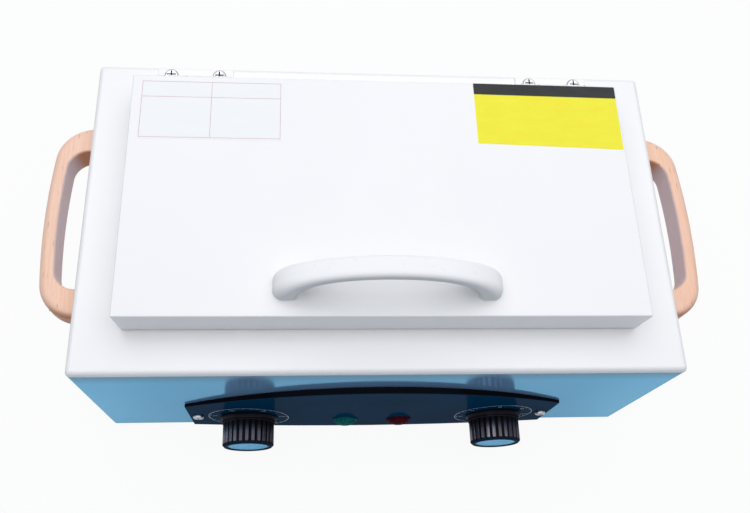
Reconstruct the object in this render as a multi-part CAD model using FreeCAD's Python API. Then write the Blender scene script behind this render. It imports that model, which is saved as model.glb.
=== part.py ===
import FreeCAD
import Part
import math
import os
from FreeCAD import Vector

os.makedirs("parts", exist_ok=True)

# Dry heat sterilizer. Millimetres, +X right, +Y back, +Z up. The origin lies on the
# bench under the middle of the whole footprint, knobs and mains inlet included.

# Shared stock and fits
sheet = 1.2
thin_sheet = 0.8
seam = 0.3
seat_gap = 0.2
running_fit = 0.06
hole_clearance = 0.1
overrun = 6.0

# Cabinet
body_width = 345.0
body_depth = 197.4
body_height = 127.3
top_edge_radius = 3.1
corner_radius = 2.6
bottom_lip = 12.0
fascia_return = 8.0
fascia_drop = 3.7
frame_overlap = 6.0
frame_top_band = 14.0
frame_side_band = 20.0

# Rear panel
rear_panel_sheet = 1.0
rear_side_margin = 5.0
rear_top_margin = 7.0
rear_bottom_margin = 1.0
rear_window_border = 14.0
rear_screw_inset = 4.5
vent_slot_length = 34.0
vent_slot_width = 3.0
vent_pitch = 8.0
vent_rows = 5
vent_columns = 5
vent_column_pitch = 46.0
vent_low_rise = 26.3

# Base
base_slot_length = 60.0
base_slot_width = 3.0
base_slot_pitch = 10.0
base_slot_rows = 7
foot_height = 8.0
foot_radius = 11.0
foot_tip_radius = 10.0
foot_recess_radius = 5.5
foot_recess_depth = 4.5
foot_inset_x = 28.5
foot_inset_y = 26.0

# Fasteners
screw_head_radius = 3.5
screw_head_height = 2.0
screw_shank_radius = 1.5
screw_grip = 6.0
recess_length_share = 0.62
recess_width_share = 0.2
recess_depth_share = 0.55
head_round_share = 0.6
nut_across_share = 1.9
nut_height_share = 1.5

# Tank
tank_side_margin = 21.4
tank_end_margin = 17.05
tank_floor_rise = 69.3
tank_sheet = 1.0
tank_corner_radius = 16.0
tank_floor_radius = 8.0
tank_flange = 13.0
tank_deck_clearance = 1.0
tank_screw_inset = 3.0
tank_screw_corner_x = 65.0
tank_screw_corner_y = 18.0
tank_screw_head_radius = 2.5
tank_screw_head_height = 1.2

# Heater under the tank
heater_tube_radius = 3.25
heater_side_gap = 19.0
heater_end_gap = 30.0
heater_lead_reach = 17.0
heater_lead_bend = 10.0
clamp_width = 10.0
clamp_thickness = 2.0
clamp_overhang = 7.0
terminal_sleeve_radius = 4.5
terminal_sleeve_length = 9.0
terminal_stud_radius = 2.0
terminal_stud_length = 8.0

# Insulation and heat shield around the tank
insulation_thickness = 5.8
insulation_gap = 0.5
insulation_floor = 9.0
insulation_top_drop = 6.0
lead_hole_radius = 6.0
shield_flange = 9.0

# Controls
control_inset = 37.8
control_rise = 29.5
thermostat_width = 36.0
thermostat_height = 34.0
thermostat_depth = 28.0
timer_width = 40.0
timer_height = 38.0
timer_depth = 36.0
bushing_radius = 4.8
bushing_set_back = 1.55
control_nut_radius = 8.0
control_nut_height = 2.0
shaft_radius = 3.0
shaft_socket = 6.0
shaft_flat_share = 0.55
tab_width = 6.3
tab_thickness = 0.8
tab_length = 8.0
tab_spread = 8.0
tab_rise = 8.0

# Control panel
panel_thickness = 4.1
panel_end_thickness = 1.9
panel_side_margin = 54.3
panel_bottom_rise = 2.5
panel_corner_rise = 55.5
panel_top_rise = 95.5
panel_edge_radius = 0.3
panel_nut_hole_radius = 10.0
panel_screw_inset = 5.6
panel_screw_rise = 29.5
spot_face_depth = 0.1

# Knobs
knob_gap = 0.51
knob_skirt_radius = 18.2
knob_skirt_edge = 0.5
knob_skirt_height = 2.6
knob_neck_radius = 16.7
knob_bead_height = 1.2
knob_bead_rise = 0.35
knob_radius = 16.25
knob_length = 18.4
knob_rim_bevel = 1.2
knob_cap_radius = 13.4
knob_cap_sink = 0.5
knob_cap_thickness = 1.0
knob_shaft_depth = 13.0
flute_count = 26
flute_radius = 1.0
flute_depth = 0.8

# Signal lamps
lamp_place_share = 0.2214
lamp_rise = 23.2
lens_radius = 8.0
lens_flange_height = 1.2
lens_dome_height = 2.9
lamp_body_radius = 6.2
lamp_body_length = 22.7
lamp_nut_radius = 9.0
lamp_nut_height = 3.0
lamp_tab_gap = 6.0

# Thermostat sensing line
bulb_radius = 3.0
bulb_length = 70.0
capillary_radius = 0.8
capillary_bend = 6.0
capillary_exit_x = 14.0
capillary_exit_z = 12.5
capillary_side_gap = 13.0
capillary_slack = 17.0
bulb_side_gap = 45.0

# Mains inlet
inlet_side_inset = 67.5
inlet_rise = 30.0
inlet_flange_width = 50.0
inlet_flange_height = 24.0
inlet_flange_thickness = 3.0
inlet_body_width = 29.0
inlet_body_height = 20.0
inlet_body_depth = 17.0
inlet_socket_width = 25.0
inlet_socket_height = 16.0
inlet_socket_depth = 16.0
inlet_corner_radius = 3.0
inlet_screw_spacing = 40.0
inlet_blade_spread = 7.0
inlet_blade_width = 2.0
inlet_blade_height = 4.0
inlet_blade_length = 11.0
inlet_earth_rise = 4.0
inlet_head_radius = 3.0
inlet_head_height = 1.7

# Terminal block
block_x = 60.0
block_y_from_rear = 67.7
block_width = 36.0
block_depth = 22.0
block_height = 16.0
block_pitch = 11.0
block_well_radius = 3.0
block_well_depth = 6.0
block_well_shares = (0.25, 0.75)

# Earth stud on the base plate
earth_stud_radius = 2.0
earth_stud_height = 12.0
earth_lane = 30.0

# Thermal fuse on the heat shield
fuse_length = 26.0
fuse_radius = 4.0
fuse_tab_length = 10.0
fuse_tab_thickness = 1.0
fuse_x = 40.0

# Wiring
wire_radius = 1.2
wire_bend = 4.0
wire_low_rise = 6.8
wire_mid_rise = 14.8
wire_upper_rise = 22.8
wire_lane = 10.0
wire_turn = 11.5

# Beech side grips
grip_reach = 26.0
grip_bar = 9.0
grip_half_length = 62.0
grip_inner_half_length = 44.5
grip_thickness = 18.0
grip_top_drop = 13.0
grip_corner_radius = 23.0
grip_inner_corner_radius = 12.0
grip_bow_radius = 420.0
grip_outer_round = 4.5
grip_inner_round = 2.0
grip_screw_length = 18.0
grip_screw_radius = 2.0
grip_washer_radius = 6.0
grip_washer_thickness = 1.0

# Lid
lid_side_margin = 26.1
lid_rear_margin = 22.2
lid_height = 21.6
lid_draft = 1.5
lid_edge_radius = 0.8
lid_front_setback = 25.1
lid_lift = 1.0
lining_gap = 2.0
pan_rim = 8.0
pan_corner_radius = 6.0
post_radius = 4.0
post_inset_x = 41.4
post_inset_y = 33.05
gasket_width = 5.0
gasket_height = 5.0
gasket_inset = 1.0
lid_wool_gap = 0.4
pocket_radius = 6.5
pocket_depth = 5.0

# Bow handle on the lid
bow_front_setback = 9.0
bow_inner_half_span = 49.0
bow_inner_height = 25.0
bow_foot_width = 13.6
bow_foot_depth = 16.0
bow_grip_thickness = 7.5
bow_grip_depth = 12.0
bow_squareness = 2.0
bow_flare_power = 5.4
bow_under_round_share = 0.22
bow_top_round_share = 0.42
bow_sections = 15
bow_screw_length = 12.0
bow_screw_radius = 2.0

# Hinges
hinge_side_inset = 33.25
hinge_screw_spacing = 29.3
hinge_screw_inset = 8.0
leaf_length = 46.0
leaf_thickness = 1.5
leaf_rear_margin = 2.5
pin_radius = 1.5
pin_head_radius = 2.4
pin_head_height = 1.2
knuckle_radius = 3.0
knuckle_count = 5
knuckle_gap = 0.4
hinge_swing_gap = 0.4
pin_height = 10.7
leaf_drop = 7.0
leaf_rise = 9.0
web_half = 1.5
rivet_rise = 5.5
rivet_head_radius = 2.8
rivet_head_height = 1.2
rivet_shank_radius = 1.6
hinge_head_radius = 4.2
hinge_head_height = 2.4
hinge_screw_radius = 2.0

# Places worked out from the sizes
half_width = body_width / 2
panel_half_width = half_width - panel_side_margin
control_x = panel_half_width - control_inset
lamp_x = control_x * lamp_place_share
panel_bow = panel_thickness - panel_end_thickness
panel_bow_radius = (panel_half_width ** 2 + panel_bow ** 2) / (2 * panel_bow)


def panel_depth(x):
    """How far the bowed panel's face stands before the fascia, at a distance from its middle."""
    return panel_thickness - panel_bow_radius + math.sqrt(panel_bow_radius ** 2 - x ** 2)


knob_stand = panel_depth(control_x - knob_skirt_radius) + knob_gap
front_reach = knob_stand + knob_length
rear_reach = rear_panel_sheet + inlet_flange_thickness
body_centre_y = (front_reach - rear_reach) / 2
front_y = body_centre_y - body_depth / 2
rear_y = body_centre_y + body_depth / 2
base_z = foot_height
deck_z = foot_height + body_height
inner_front_y = front_y + sheet
inner_rear_y = rear_y - sheet
inner_half_width = half_width - sheet
seam_z = deck_z - fascia_drop
control_z = base_z + control_rise
panel_bottom_z = base_z + panel_bottom_rise
panel_corner_z = base_z + panel_corner_rise
panel_top_z = base_z + panel_top_rise
panel_screw_x = panel_half_width - panel_screw_inset
panel_screw_z = base_z + panel_screw_rise
lamp_z = base_z + lamp_rise
inlet_x = half_width - inlet_side_inset
inlet_z = base_z + inlet_rise
base_top_z = base_z + sheet
lip_top_z = base_top_z + sheet
panel_front_y = front_y - panel_thickness
knob_back_y = front_y - knob_stand
lamp_seat_y = front_y - panel_depth(lamp_x + lens_radius) + spot_face_depth
panel_screw_seat_y = front_y - panel_depth(panel_screw_x + screw_head_radius) + spot_face_depth
rear_face_y = rear_y + rear_panel_sheet

lid_front_y = front_y + lid_front_setback
lid_rear_y = rear_y - lid_rear_margin
lid_width = body_width - lid_side_margin * 2
lid_depth = lid_rear_y - lid_front_y
lid_bottom_z = deck_z + lid_lift
lid_top_z = lid_bottom_z + lid_height
lid_centre_y = (lid_front_y + lid_rear_y) / 2
lid_ceiling_z = lid_top_z - sheet

tank_centre_y = lid_centre_y
tank_half_x = lid_width / 2 - tank_side_margin
tank_half_y = lid_depth / 2 - tank_end_margin
tank_bottom_z = base_z + tank_floor_rise
tank_screw_spread_x = tank_half_x - tank_screw_corner_x
tank_screw_spread_y = tank_half_y - tank_screw_corner_y
flange_top_z = deck_z + tank_sheet
pan_bottom_z = flange_top_z + gasket_height

heater_z = tank_bottom_z - seat_gap - heater_tube_radius
heater_bend_radius = (tank_half_y - heater_side_gap) / 3
heater_half_run = tank_half_x - heater_end_gap
heater_lead_run = heater_half_run + heater_lead_reach
clamp_reach = heater_bend_radius * 3 + clamp_overhang
capillary_turn_x = tank_half_x - capillary_side_gap
bulb_end_x = tank_half_x - bulb_side_gap
wool_floor_z = heater_z - heater_tube_radius - clamp_thickness - insulation_floor
wool_half_x = tank_half_x + insulation_gap + insulation_thickness
wool_half_y = tank_half_y + insulation_gap + insulation_thickness
shield_half_x = wool_half_x + seat_gap
shield_half_y = wool_half_y + seat_gap
shield_floor_z = wool_floor_z - seat_gap
shield_under_z = shield_floor_z - thin_sheet
terminal_z = shield_under_z - terminal_sleeve_length / 2

post_spread_x = lid_width / 2 - post_inset_x
post_spread_y = lid_depth / 2 - post_inset_y
hinge_x = lid_width / 2 - hinge_side_inset
pin_y = lid_rear_y + leaf_thickness + hinge_swing_gap + knuckle_radius
pin_z = deck_z + pin_height


def box(x0, x1, y0, y1, z0, z1):
    """A box between two corners."""
    return Part.makeBox(x1 - x0, y1 - y0, z1 - z0, Vector(x0, y0, z0))


def upright(edge):
    """Whether an edge runs parallel to Z."""
    a = edge.Vertexes[0].Point
    b = edge.Vertexes[-1].Point
    return abs(a.x - b.x) + abs(a.y - b.y) < abs(a.z - b.z)


def plate(x0, x1, y0, y1, z0, z1, radius):
    """A box with rounded upright corners."""
    solid = box(x0, x1, y0, y1, z0, z1)
    return solid.makeFillet(radius, [e for e in solid.Edges if upright(e)])


def place(shape, base, direction):
    """Turn a shape's +Z to a direction and set its zero at a point."""
    turned = shape.copy()
    turned.Placement = FreeCAD.Placement(base, FreeCAD.Rotation(Vector(0, 0, 1), direction))
    return turned


def rod(radius, base, direction, length):
    """A cylinder from a point along a direction."""
    return Part.makeCylinder(radius, length, base, direction)


def mirrored(shape):
    """The same piece on the other side of the middle plane."""
    return shape.mirror(Vector(0, 0, 0), Vector(1, 0, 0))


def both_sides(shape):
    return [mirrored(shape), shape]


def fuse(shapes):
    """One solid from pieces that touch or cross."""
    whole = shapes[0].multiFuse(shapes[1:])
    return whole.removeSplitter()


def save(name, solids):
    """Write one node as a single solid or as a group of separate solids."""
    found = []
    for item in solids:
        found.extend(item.Solids)
    shape = found[0] if len(found) == 1 else Part.makeCompound(found)
    good = shape.isValid() and all(s.Volume > 0 for s in found)
    print(f"{name}: {len(found)} solids, {shape.Volume:.0f} mm3, {'ok' if good else 'NOT VALID'}")
    shape.exportStep(f"parts/{name}.step")


def screw(head_radius, head_height, shank_radius, shank_length):
    """A cross-recessed pan screw: head above zero, shank below it."""
    head = Part.makeCylinder(head_radius, head_height)
    rim = [e for e in head.Edges if e.BoundBox.ZMin > head_height / 2]
    head = head.makeFillet(head_height * head_round_share, rim)
    arm = head_radius * recess_length_share
    half = head_radius * recess_width_share / 2
    floor = head_height * (1 - recess_depth_share)
    top = head_height + overrun
    cross = fuse([box(-arm, arm, -half, half, floor, top), box(-half, half, -arm, arm, floor, top)])
    shank = rod(shank_radius, Vector(0, 0, 0), Vector(0, 0, -1), shank_length)
    return fuse([head.cut(cross), shank])


def hex_nut(radius, height, bore):
    """A six-sided nut standing on zero."""
    corners = []
    for i in range(7):
        angle = math.pi / 3 * i
        corners.append(Vector(radius * math.cos(angle), radius * math.sin(angle), 0))
    block = Part.Face(Part.makePolygon(corners)).extrude(Vector(0, 0, height))
    return block.cut(Part.makeCylinder(bore, height))


def bent_tube(points, bend, radius):
    """A round rod along straight runs joined by tangent arcs."""
    pieces = []
    start = points[0]
    for before, corner, after in zip(points, points[1:], points[2:]):
        into = (corner - before).normalize()
        out = (after - corner).normalize()
        turn = into.getAngle(out)
        trim = bend * math.tan(turn / 2)
        first = corner - into * trim
        last = corner + out * trim
        inward = (out - into).normalize()
        centre = corner + inward * (bend / math.cos(turn / 2))
        middle = centre - inward * bend
        pieces.append(Part.LineSegment(start, first).toShape())
        pieces.append(Part.Arc(first, middle, last).toShape())
        start = last
    pieces.append(Part.LineSegment(start, points[-1]).toShape())
    path = Part.Wire(pieces)
    heading = points[1] - points[0]
    ring = Part.Wire([Part.makeCircle(radius, points[0], heading)])
    return path.makePipeShell([ring], True, False)


def row(count, pitch):
    """Evenly spaced places about zero."""
    return [(i - (count - 1) / 2) * pitch for i in range(count)]


def slot(length, width, x, z, y0, y1):
    """A round-ended slot along X that cuts through in Y."""
    half = (length - width) / 2
    ends = [rod(width / 2, Vector(x + s * half, y0, z), Vector(0, 1, 0), y1 - y0) for s in (-1, 1)]
    return fuse([box(x - half, x + half, y0, y1, z - width / 2, z + width / 2)] + ends)


# Cabinet

def cabinet_block(inset, bottom):
    """The cabinet's rounded block, drawn in by an inset, down to a height."""
    x = half_width - inset
    top = deck_z - inset
    least = sheet / 4
    solid = plate(-x, x, front_y + inset, rear_y - inset, bottom, top, max(corner_radius - inset, least))
    rims = [e for e in solid.Edges if e.BoundBox.ZMin > top - least]
    return solid.makeFillet(max(top_edge_radius - inset, least), rims)


def grip_screw_points():
    """Where the grips' screws pass through the right-hand side."""
    y_arm = (grip_half_length + grip_inner_half_length) / 2
    z = deck_z - grip_top_drop - grip_thickness / 2
    return [Vector(inner_half_width, body_centre_y + s * y_arm, z) for s in (-1, 1)]


def hinge_screw_points():
    """Where the right-hand hinge's screws stand on the deck."""
    y = rear_y - hinge_screw_inset
    return [Vector(hinge_x + s * hinge_screw_spacing / 2, y, deck_z) for s in (-1, 1)]


def tank_screw_points():
    """Screws around the tank's flange."""
    x_side = tank_half_x + tank_flange - tank_screw_inset
    y_end = tank_half_y + tank_flange - tank_screw_inset
    places = []
    for sx in (-1, 1):
        for sy in (-1, 1):
            places.append((sx * x_side, sy * tank_screw_spread_y))
            places.append((sx * tank_screw_spread_x, sy * y_end))
    return [Vector(x, tank_centre_y + y, flange_top_z) for x, y in places]


def rear_screw_points():
    x = half_width - rear_side_margin - rear_screw_inset
    low = base_z + rear_bottom_margin + rear_screw_inset
    high = deck_z - rear_top_margin - rear_screw_inset
    levels = (low, (low + high) / 2, high)
    return [Vector(s * x, rear_face_y, z) for s in (-1, 1) for z in levels]


def base_screw_points():
    x = inner_half_width - bottom_lip / 2
    y_end = inner_rear_y - bottom_lip / 2
    y_front = inner_front_y + bottom_lip / 2
    side = [Vector(s * x, body_centre_y, base_z) for s in (-1, 1)]
    rear = [Vector(s * x / 2, y_end, base_z) for s in (-1, 1)]
    front = [Vector(s * x / 2, y_front, base_z) for s in (-1, 1)]
    return side + rear + front


def foot_points():
    x = half_width - foot_inset_x
    y = body_depth / 2 - foot_inset_y
    return [Vector(sx * x, body_centre_y + sy * y, 0) for sx in (-1, 1) for sy in (-1, 1)]


def front_frame():
    """The joggled frame behind the fascia, part of the shell."""
    y_end = front_y + fascia_return + frame_overlap
    zone = box(-half_width, half_width, front_y, y_end, lip_top_z + seam, deck_z)
    skin = cabinet_block(sheet, base_z - overrun).cut(cabinet_block(sheet * 2, base_z - overrun * 2))
    window = box(
        -half_width + frame_side_band, half_width - frame_side_band,
        front_y, y_end - sheet, base_z, seam_z - frame_top_band,
    )
    deck_zone = box(-half_width, half_width, front_y, y_end, deck_z - sheet * 2, deck_z)
    keep = box(-half_width, half_width, inner_front_y, inner_front_y + sheet, base_z, deck_z)
    return skin.common(zone).cut(window).cut(deck_zone.cut(keep))


def cabinet_shell():
    """Deck, sides and rear border in one pressing with a rolled front edge."""
    skin = cabinet_block(0, base_z).cut(cabinet_block(sheet, base_z - overrun))
    front_zone = box(
        -half_width - overrun, half_width + overrun,
        front_y - overrun, front_y + fascia_return + seam,
        base_z - overrun, seam_z,
    )
    skin = skin.cut(front_zone)
    x_in = inner_half_width - bottom_lip
    y_front = front_y + fascia_return + seam
    side_lip = box(x_in, inner_half_width + seat_gap, y_front, inner_rear_y, base_top_z, lip_top_z)
    x_out = x_in + seat_gap
    rear_lip = box(-x_out, x_out, inner_rear_y - bottom_lip, inner_rear_y + seat_gap, base_top_z, lip_top_z)
    shell = fuse([skin, front_frame(), rear_lip] + both_sides(side_lip))
    rear_window = box(
        -half_width + rear_window_border, half_width - rear_window_border,
        inner_rear_y - overrun / 4, rear_y + overrun,
        base_z + rear_window_border, deck_z - rear_window_border,
    )
    reach_x = tank_half_x + tank_deck_clearance
    reach_y = tank_half_y + tank_deck_clearance
    tank_hole = plate(
        -reach_x, reach_x, tank_centre_y - reach_y, tank_centre_y + reach_y,
        deck_z - overrun, deck_z + overrun, tank_corner_radius + tank_deck_clearance,
    )
    cuts = [rear_window, tank_hole]
    bore = screw_shank_radius + hole_clearance
    for p in tank_screw_points():
        cuts.append(rod(bore, p, Vector(0, 0, -1), overrun))
    for p in rear_screw_points():
        cuts.append(rod(bore, p, Vector(0, -1, 0), overrun))
    for p in base_screw_points():
        cuts.append(rod(bore, p, Vector(0, 0, 1), overrun))
    for p in grip_screw_points():
        hole = rod(grip_screw_radius + hole_clearance, p, Vector(1, 0, 0), overrun)
        cuts.extend(both_sides(hole))
    for p in hinge_screw_points():
        hole = rod(hinge_screw_radius + hole_clearance, p, Vector(0, 0, -1), overrun)
        cuts.extend(both_sides(hole))
    return shell.cut(cuts)


def front_fascia():
    """The coloured front sheet with its side returns and bottom lip."""
    skin = cabinet_block(0, base_z).cut(cabinet_block(sheet, base_z - overrun))
    zone = box(-half_width, half_width, front_y, front_y + fascia_return, base_z, seam_z - seam)
    x_in = inner_half_width - bottom_lip - seam
    lip = box(-x_in, x_in, inner_front_y - seat_gap, inner_front_y + bottom_lip, base_top_z, lip_top_z)
    body = fuse([skin.common(zone), lip])
    cuts = []
    for s in (-1, 1):
        cuts.append(rod(bushing_radius + hole_clearance, Vector(s * control_x, front_y - overrun, control_z),
                        Vector(0, 1, 0), overrun * 2))
        cuts.append(rod(lamp_body_radius + hole_clearance, Vector(s * lamp_x, front_y - overrun, lamp_z),
                        Vector(0, 1, 0), overrun * 2))
        start = Vector(s * panel_screw_x, front_y - overrun, panel_screw_z)
        cuts.append(rod(screw_shank_radius + hole_clearance, start, Vector(0, 1, 0), overrun * 2))
    for p in base_screw_points():
        cuts.append(rod(screw_shank_radius + hole_clearance, p, Vector(0, 0, 1), overrun))
    return body.cut(cuts)


def rear_panel():
    """The screwed-on back sheet with its vents and the inlet's cut-out."""
    x = half_width - rear_side_margin
    body = box(-x, x, rear_y, rear_face_y, base_z + rear_bottom_margin, deck_z - rear_top_margin)
    y0 = rear_y - overrun
    y1 = rear_face_y + overrun
    low = inlet_z + vent_low_rise
    cuts = []
    for x_slot in row(vent_columns, vent_column_pitch):
        for i in range(vent_rows):
            cuts.append(slot(vent_slot_length, vent_slot_width, x_slot, low + i * vent_pitch, y0, y1))
    cuts.append(box(
        -inlet_x - inlet_body_width / 2 - seat_gap, -inlet_x + inlet_body_width / 2 + seat_gap, y0, y1,
        inlet_z - inlet_body_height / 2 - seat_gap, inlet_z + inlet_body_height / 2 + seat_gap,
    ))
    for s in (-1, 1):
        centre = Vector(-inlet_x + s * inlet_screw_spacing / 2, y0, inlet_z)
        cuts.append(rod(screw_shank_radius + hole_clearance, centre, Vector(0, 1, 0), y1 - y0))
    for p in rear_screw_points():
        start = Vector(p.x, y0, p.z)
        cuts.append(rod(screw_shank_radius + hole_clearance, start, Vector(0, 1, 0), y1 - y0))
    return body.cut(cuts)


def base_plate():
    """The flat bottom sheet with its vent slots."""
    x = inner_half_width - seam
    body = plate(-x, x, inner_front_y + seam, inner_rear_y - seam, base_z, base_top_z, corner_radius)
    cuts = []
    for x_slot in row(3, base_slot_length + base_slot_pitch):
        for y in row(base_slot_rows, base_slot_pitch):
            cuts.append(box(
                x_slot - base_slot_length / 2, x_slot + base_slot_length / 2,
                body_centre_y + y - base_slot_width / 2, body_centre_y + y + base_slot_width / 2,
                base_z - overrun, base_top_z + overrun,
            ))
    for p in base_screw_points() + foot_points():
        start = Vector(p.x, p.y, base_z - overrun)
        radius = (screw_shank_radius if p.z else grip_screw_radius) + hole_clearance
        cuts.append(rod(radius, start, Vector(0, 0, 1), overrun * 2))
    return body.cut(cuts)


def rubber_feet():
    """Four tapered feet with a screw recess from below."""
    feet = []
    for p in foot_points():
        body = Part.makeCone(foot_tip_radius, foot_radius, foot_height, p, Vector(0, 0, 1))
        recess = rod(foot_recess_radius, p, Vector(0, 0, 1), foot_recess_depth)
        bore = rod(grip_screw_radius + hole_clearance, p, Vector(0, 0, 1), foot_height)
        feet.append(body.cut([recess, bore]))
    return feet


def foot_screws():
    """Screws up through the feet, each with its nut above the base plate."""
    made = []
    for p in foot_points():
        seat = Vector(p.x, p.y, foot_recess_depth)
        length = base_top_z - foot_recess_depth + screw_grip
        made.append(place(screw(screw_head_radius, screw_head_height, grip_screw_radius, length),
                          seat, Vector(0, 0, -1)))
        nut = hex_nut(grip_screw_radius * nut_across_share, grip_screw_radius * nut_height_share,
                      grip_screw_radius)
        made.append(place(nut, Vector(p.x, p.y, base_top_z), Vector(0, 0, 1)))
    return made


def panel_holes(y0, y1):
    cuts = []
    for s in (-1, 1):
        for radius, x, z in (
            (panel_nut_hole_radius, control_x, control_z),
            (lamp_body_radius + hole_clearance, lamp_x, lamp_z),
            (screw_shank_radius + hole_clearance, panel_screw_x, panel_screw_z),
        ):
            cuts.append(rod(radius, Vector(s * x, y0, z), Vector(0, 1, 0), y1 - y0))
    return cuts


def control_panel():
    """The arched dark plate, bowed out at its middle and spot-faced under its fittings."""
    low_left = Vector(-panel_half_width, front_y, panel_bottom_z)
    low_right = Vector(panel_half_width, front_y, panel_bottom_z)
    high_right = Vector(panel_half_width, front_y, panel_corner_z)
    high_left = Vector(-panel_half_width, front_y, panel_corner_z)
    crown = Vector(0, front_y, panel_top_z)
    outline = Part.Wire([
        Part.LineSegment(low_left, low_right).toShape(),
        Part.LineSegment(low_right, high_right).toShape(),
        Part.Arc(high_right, crown, high_left).toShape(),
        Part.LineSegment(high_left, low_left).toShape(),
    ])
    body = Part.Face(outline).extrude(Vector(0, -panel_thickness * 2, 0))
    bow = rod(panel_bow_radius, Vector(0, panel_front_y + panel_bow_radius, 0), Vector(0, 0, 1), deck_z)
    body = body.common(bow)
    rim = [e for e in body.Edges if e.BoundBox.YMax < front_y - panel_end_thickness / 2]
    body = body.makeFillet(panel_edge_radius, rim)
    cuts = panel_holes(panel_front_y - overrun, front_y + overrun)
    for s in (-1, 1):
        cuts.append(rod(lens_radius + hole_clearance, Vector(s * lamp_x, lamp_seat_y, lamp_z),
                        Vector(0, -1, 0), overrun))
        cuts.append(rod(screw_head_radius + hole_clearance,
                        Vector(s * panel_screw_x, panel_screw_seat_y, panel_screw_z),
                        Vector(0, -1, 0), overrun))
    return body.cut(cuts)


def control_panel_screws():
    """Two screws through panel and fascia, with nuts behind."""
    made = []
    length = inner_front_y - panel_screw_seat_y + screw_grip
    for s in (-1, 1):
        seat = Vector(s * panel_screw_x, panel_screw_seat_y, panel_screw_z)
        made.append(place(screw(screw_head_radius, screw_head_height, screw_shank_radius, length),
                          seat, Vector(0, -1, 0)))
        nut = hex_nut(screw_shank_radius * nut_across_share, screw_shank_radius * nut_height_share,
                      screw_shank_radius)
        made.append(place(nut, Vector(seat.x, inner_front_y, seat.z), Vector(0, 1, 0)))
    return made


# Controls

def control_body(x, width, height, depth):
    """A rotary control's housing with its threaded bushing and two tabs."""
    y0 = inner_front_y
    y1 = y0 + depth
    body = box(x - width / 2, x + width / 2, y0, y1, control_z - height / 2, control_z + height / 2)
    bushing_end = knob_back_y + bushing_set_back
    front = Vector(x, bushing_end, control_z)
    bushing = rod(bushing_radius, front, Vector(0, 1, 0), y0 - bushing_end + seat_gap)
    tabs = []
    for s in (-1, 1):
        xt = x + s * tab_spread
        zt = control_z + tab_rise
        tabs.append(box(xt - tab_width / 2, xt + tab_width / 2, y1 - seat_gap, y1 + tab_length,
                        zt - tab_thickness / 2, zt + tab_thickness / 2))
    whole = fuse([body, bushing] + tabs)
    bore_length = y0 - bushing_end + shaft_socket
    return whole.cut(rod(shaft_radius + running_fit, front, Vector(0, 1, 0), bore_length))


def control_nuts():
    """The nuts that clamp both controls to the fascia, hidden under the knobs."""
    nut = hex_nut(control_nut_radius, control_nut_height, bushing_radius)
    return [place(nut, Vector(s * control_x, front_y, control_z), Vector(0, -1, 0)) for s in (-1, 1)]


def shaft_front_y():
    return knob_back_y - knob_shaft_depth


def shaft_flat(radius, y0, y1, x):
    """The block beyond a shaft's flat."""
    z = control_z + radius * shaft_flat_share
    return box(x - radius * 2, x + radius * 2, y0, y1, z, z + radius * 2)


def control_shaft(x):
    """A control's shaft, with a flat where the knob sits."""
    y0 = shaft_front_y()
    y1 = inner_front_y + shaft_socket - seam
    body = rod(shaft_radius, Vector(x, y0, control_z), Vector(0, 1, 0), y1 - y0)
    return body.cut(shaft_flat(shaft_radius, y0, knob_back_y, x))


def knob_collar(base):
    """A knob's skirt with its hollowed flare and the bead above it, turned from one outline."""
    def at(radius, rise):
        return base + Vector(radius, -rise, 0)

    flare = knob_skirt_radius - knob_neck_radius
    bead_top = knob_skirt_height + knob_bead_height
    edge_low = at(knob_skirt_radius, 0)
    edge_high = at(knob_skirt_radius, knob_skirt_edge)
    neck = at(knob_neck_radius, knob_skirt_height)
    top = at(knob_neck_radius, bead_top)
    hollow = at(
        knob_neck_radius + flare * (1 - math.sin(math.pi / 4)),
        knob_skirt_edge + (knob_skirt_height - knob_skirt_edge) * (1 - math.sin(math.pi / 4)),
    )
    bulge = at(knob_neck_radius + knob_bead_rise, knob_skirt_height + knob_bead_height / 2)
    outline = Part.Wire([
        Part.LineSegment(at(0, 0), edge_low).toShape(),
        Part.LineSegment(edge_low, edge_high).toShape(),
        Part.Arc(edge_high, hollow, neck).toShape(),
        Part.Arc(neck, bulge, top).toShape(),
        Part.LineSegment(top, at(0, bead_top)).toShape(),
        Part.LineSegment(at(0, bead_top), at(0, 0)).toShape(),
    ])
    return Part.Face(outline).revolve(base, Vector(0, 1, 0), math.degrees(math.tau))


def knob(x):
    """A fluted knob with a flared skirt, a bevelled rim and a recess for its disc."""
    out = Vector(0, -1, 0)
    base = Vector(x, knob_back_y, control_z)
    stem = rod(knob_radius, base, out, knob_length - knob_rim_bevel)
    rim_base = base + out * (knob_length - knob_rim_bevel)
    rim = Part.makeCone(knob_radius, knob_radius - knob_rim_bevel, knob_rim_bevel, rim_base, out)
    grooves = []
    centre_radius = knob_radius + flute_radius - flute_depth
    groove_start = knob_skirt_height + knob_bead_height
    for i in range(flute_count):
        angle = math.tau * i / flute_count
        foot = base + Vector(centre_radius * math.cos(angle), 0, centre_radius * math.sin(angle))
        grooves.append(rod(flute_radius, foot + out * groove_start, out, knob_length))
    body = stem.fuse(rim).removeSplitter().cut(grooves)
    body = fuse([body, knob_collar(base)])
    bore = rod(shaft_radius, base, out, knob_shaft_depth)
    bore = bore.cut(shaft_flat(shaft_radius, shaft_front_y(), knob_back_y, x))
    floor = base + out * (knob_length - knob_cap_thickness - knob_cap_sink)
    return body.cut([bore, rod(knob_cap_radius, floor, out, overrun)])


def knob_cap(x):
    """The pale disc let into a knob's end."""
    y = knob_back_y - knob_length + knob_cap_sink
    return rod(knob_cap_radius, Vector(x, y, control_z), Vector(0, 1, 0), knob_cap_thickness)


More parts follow.
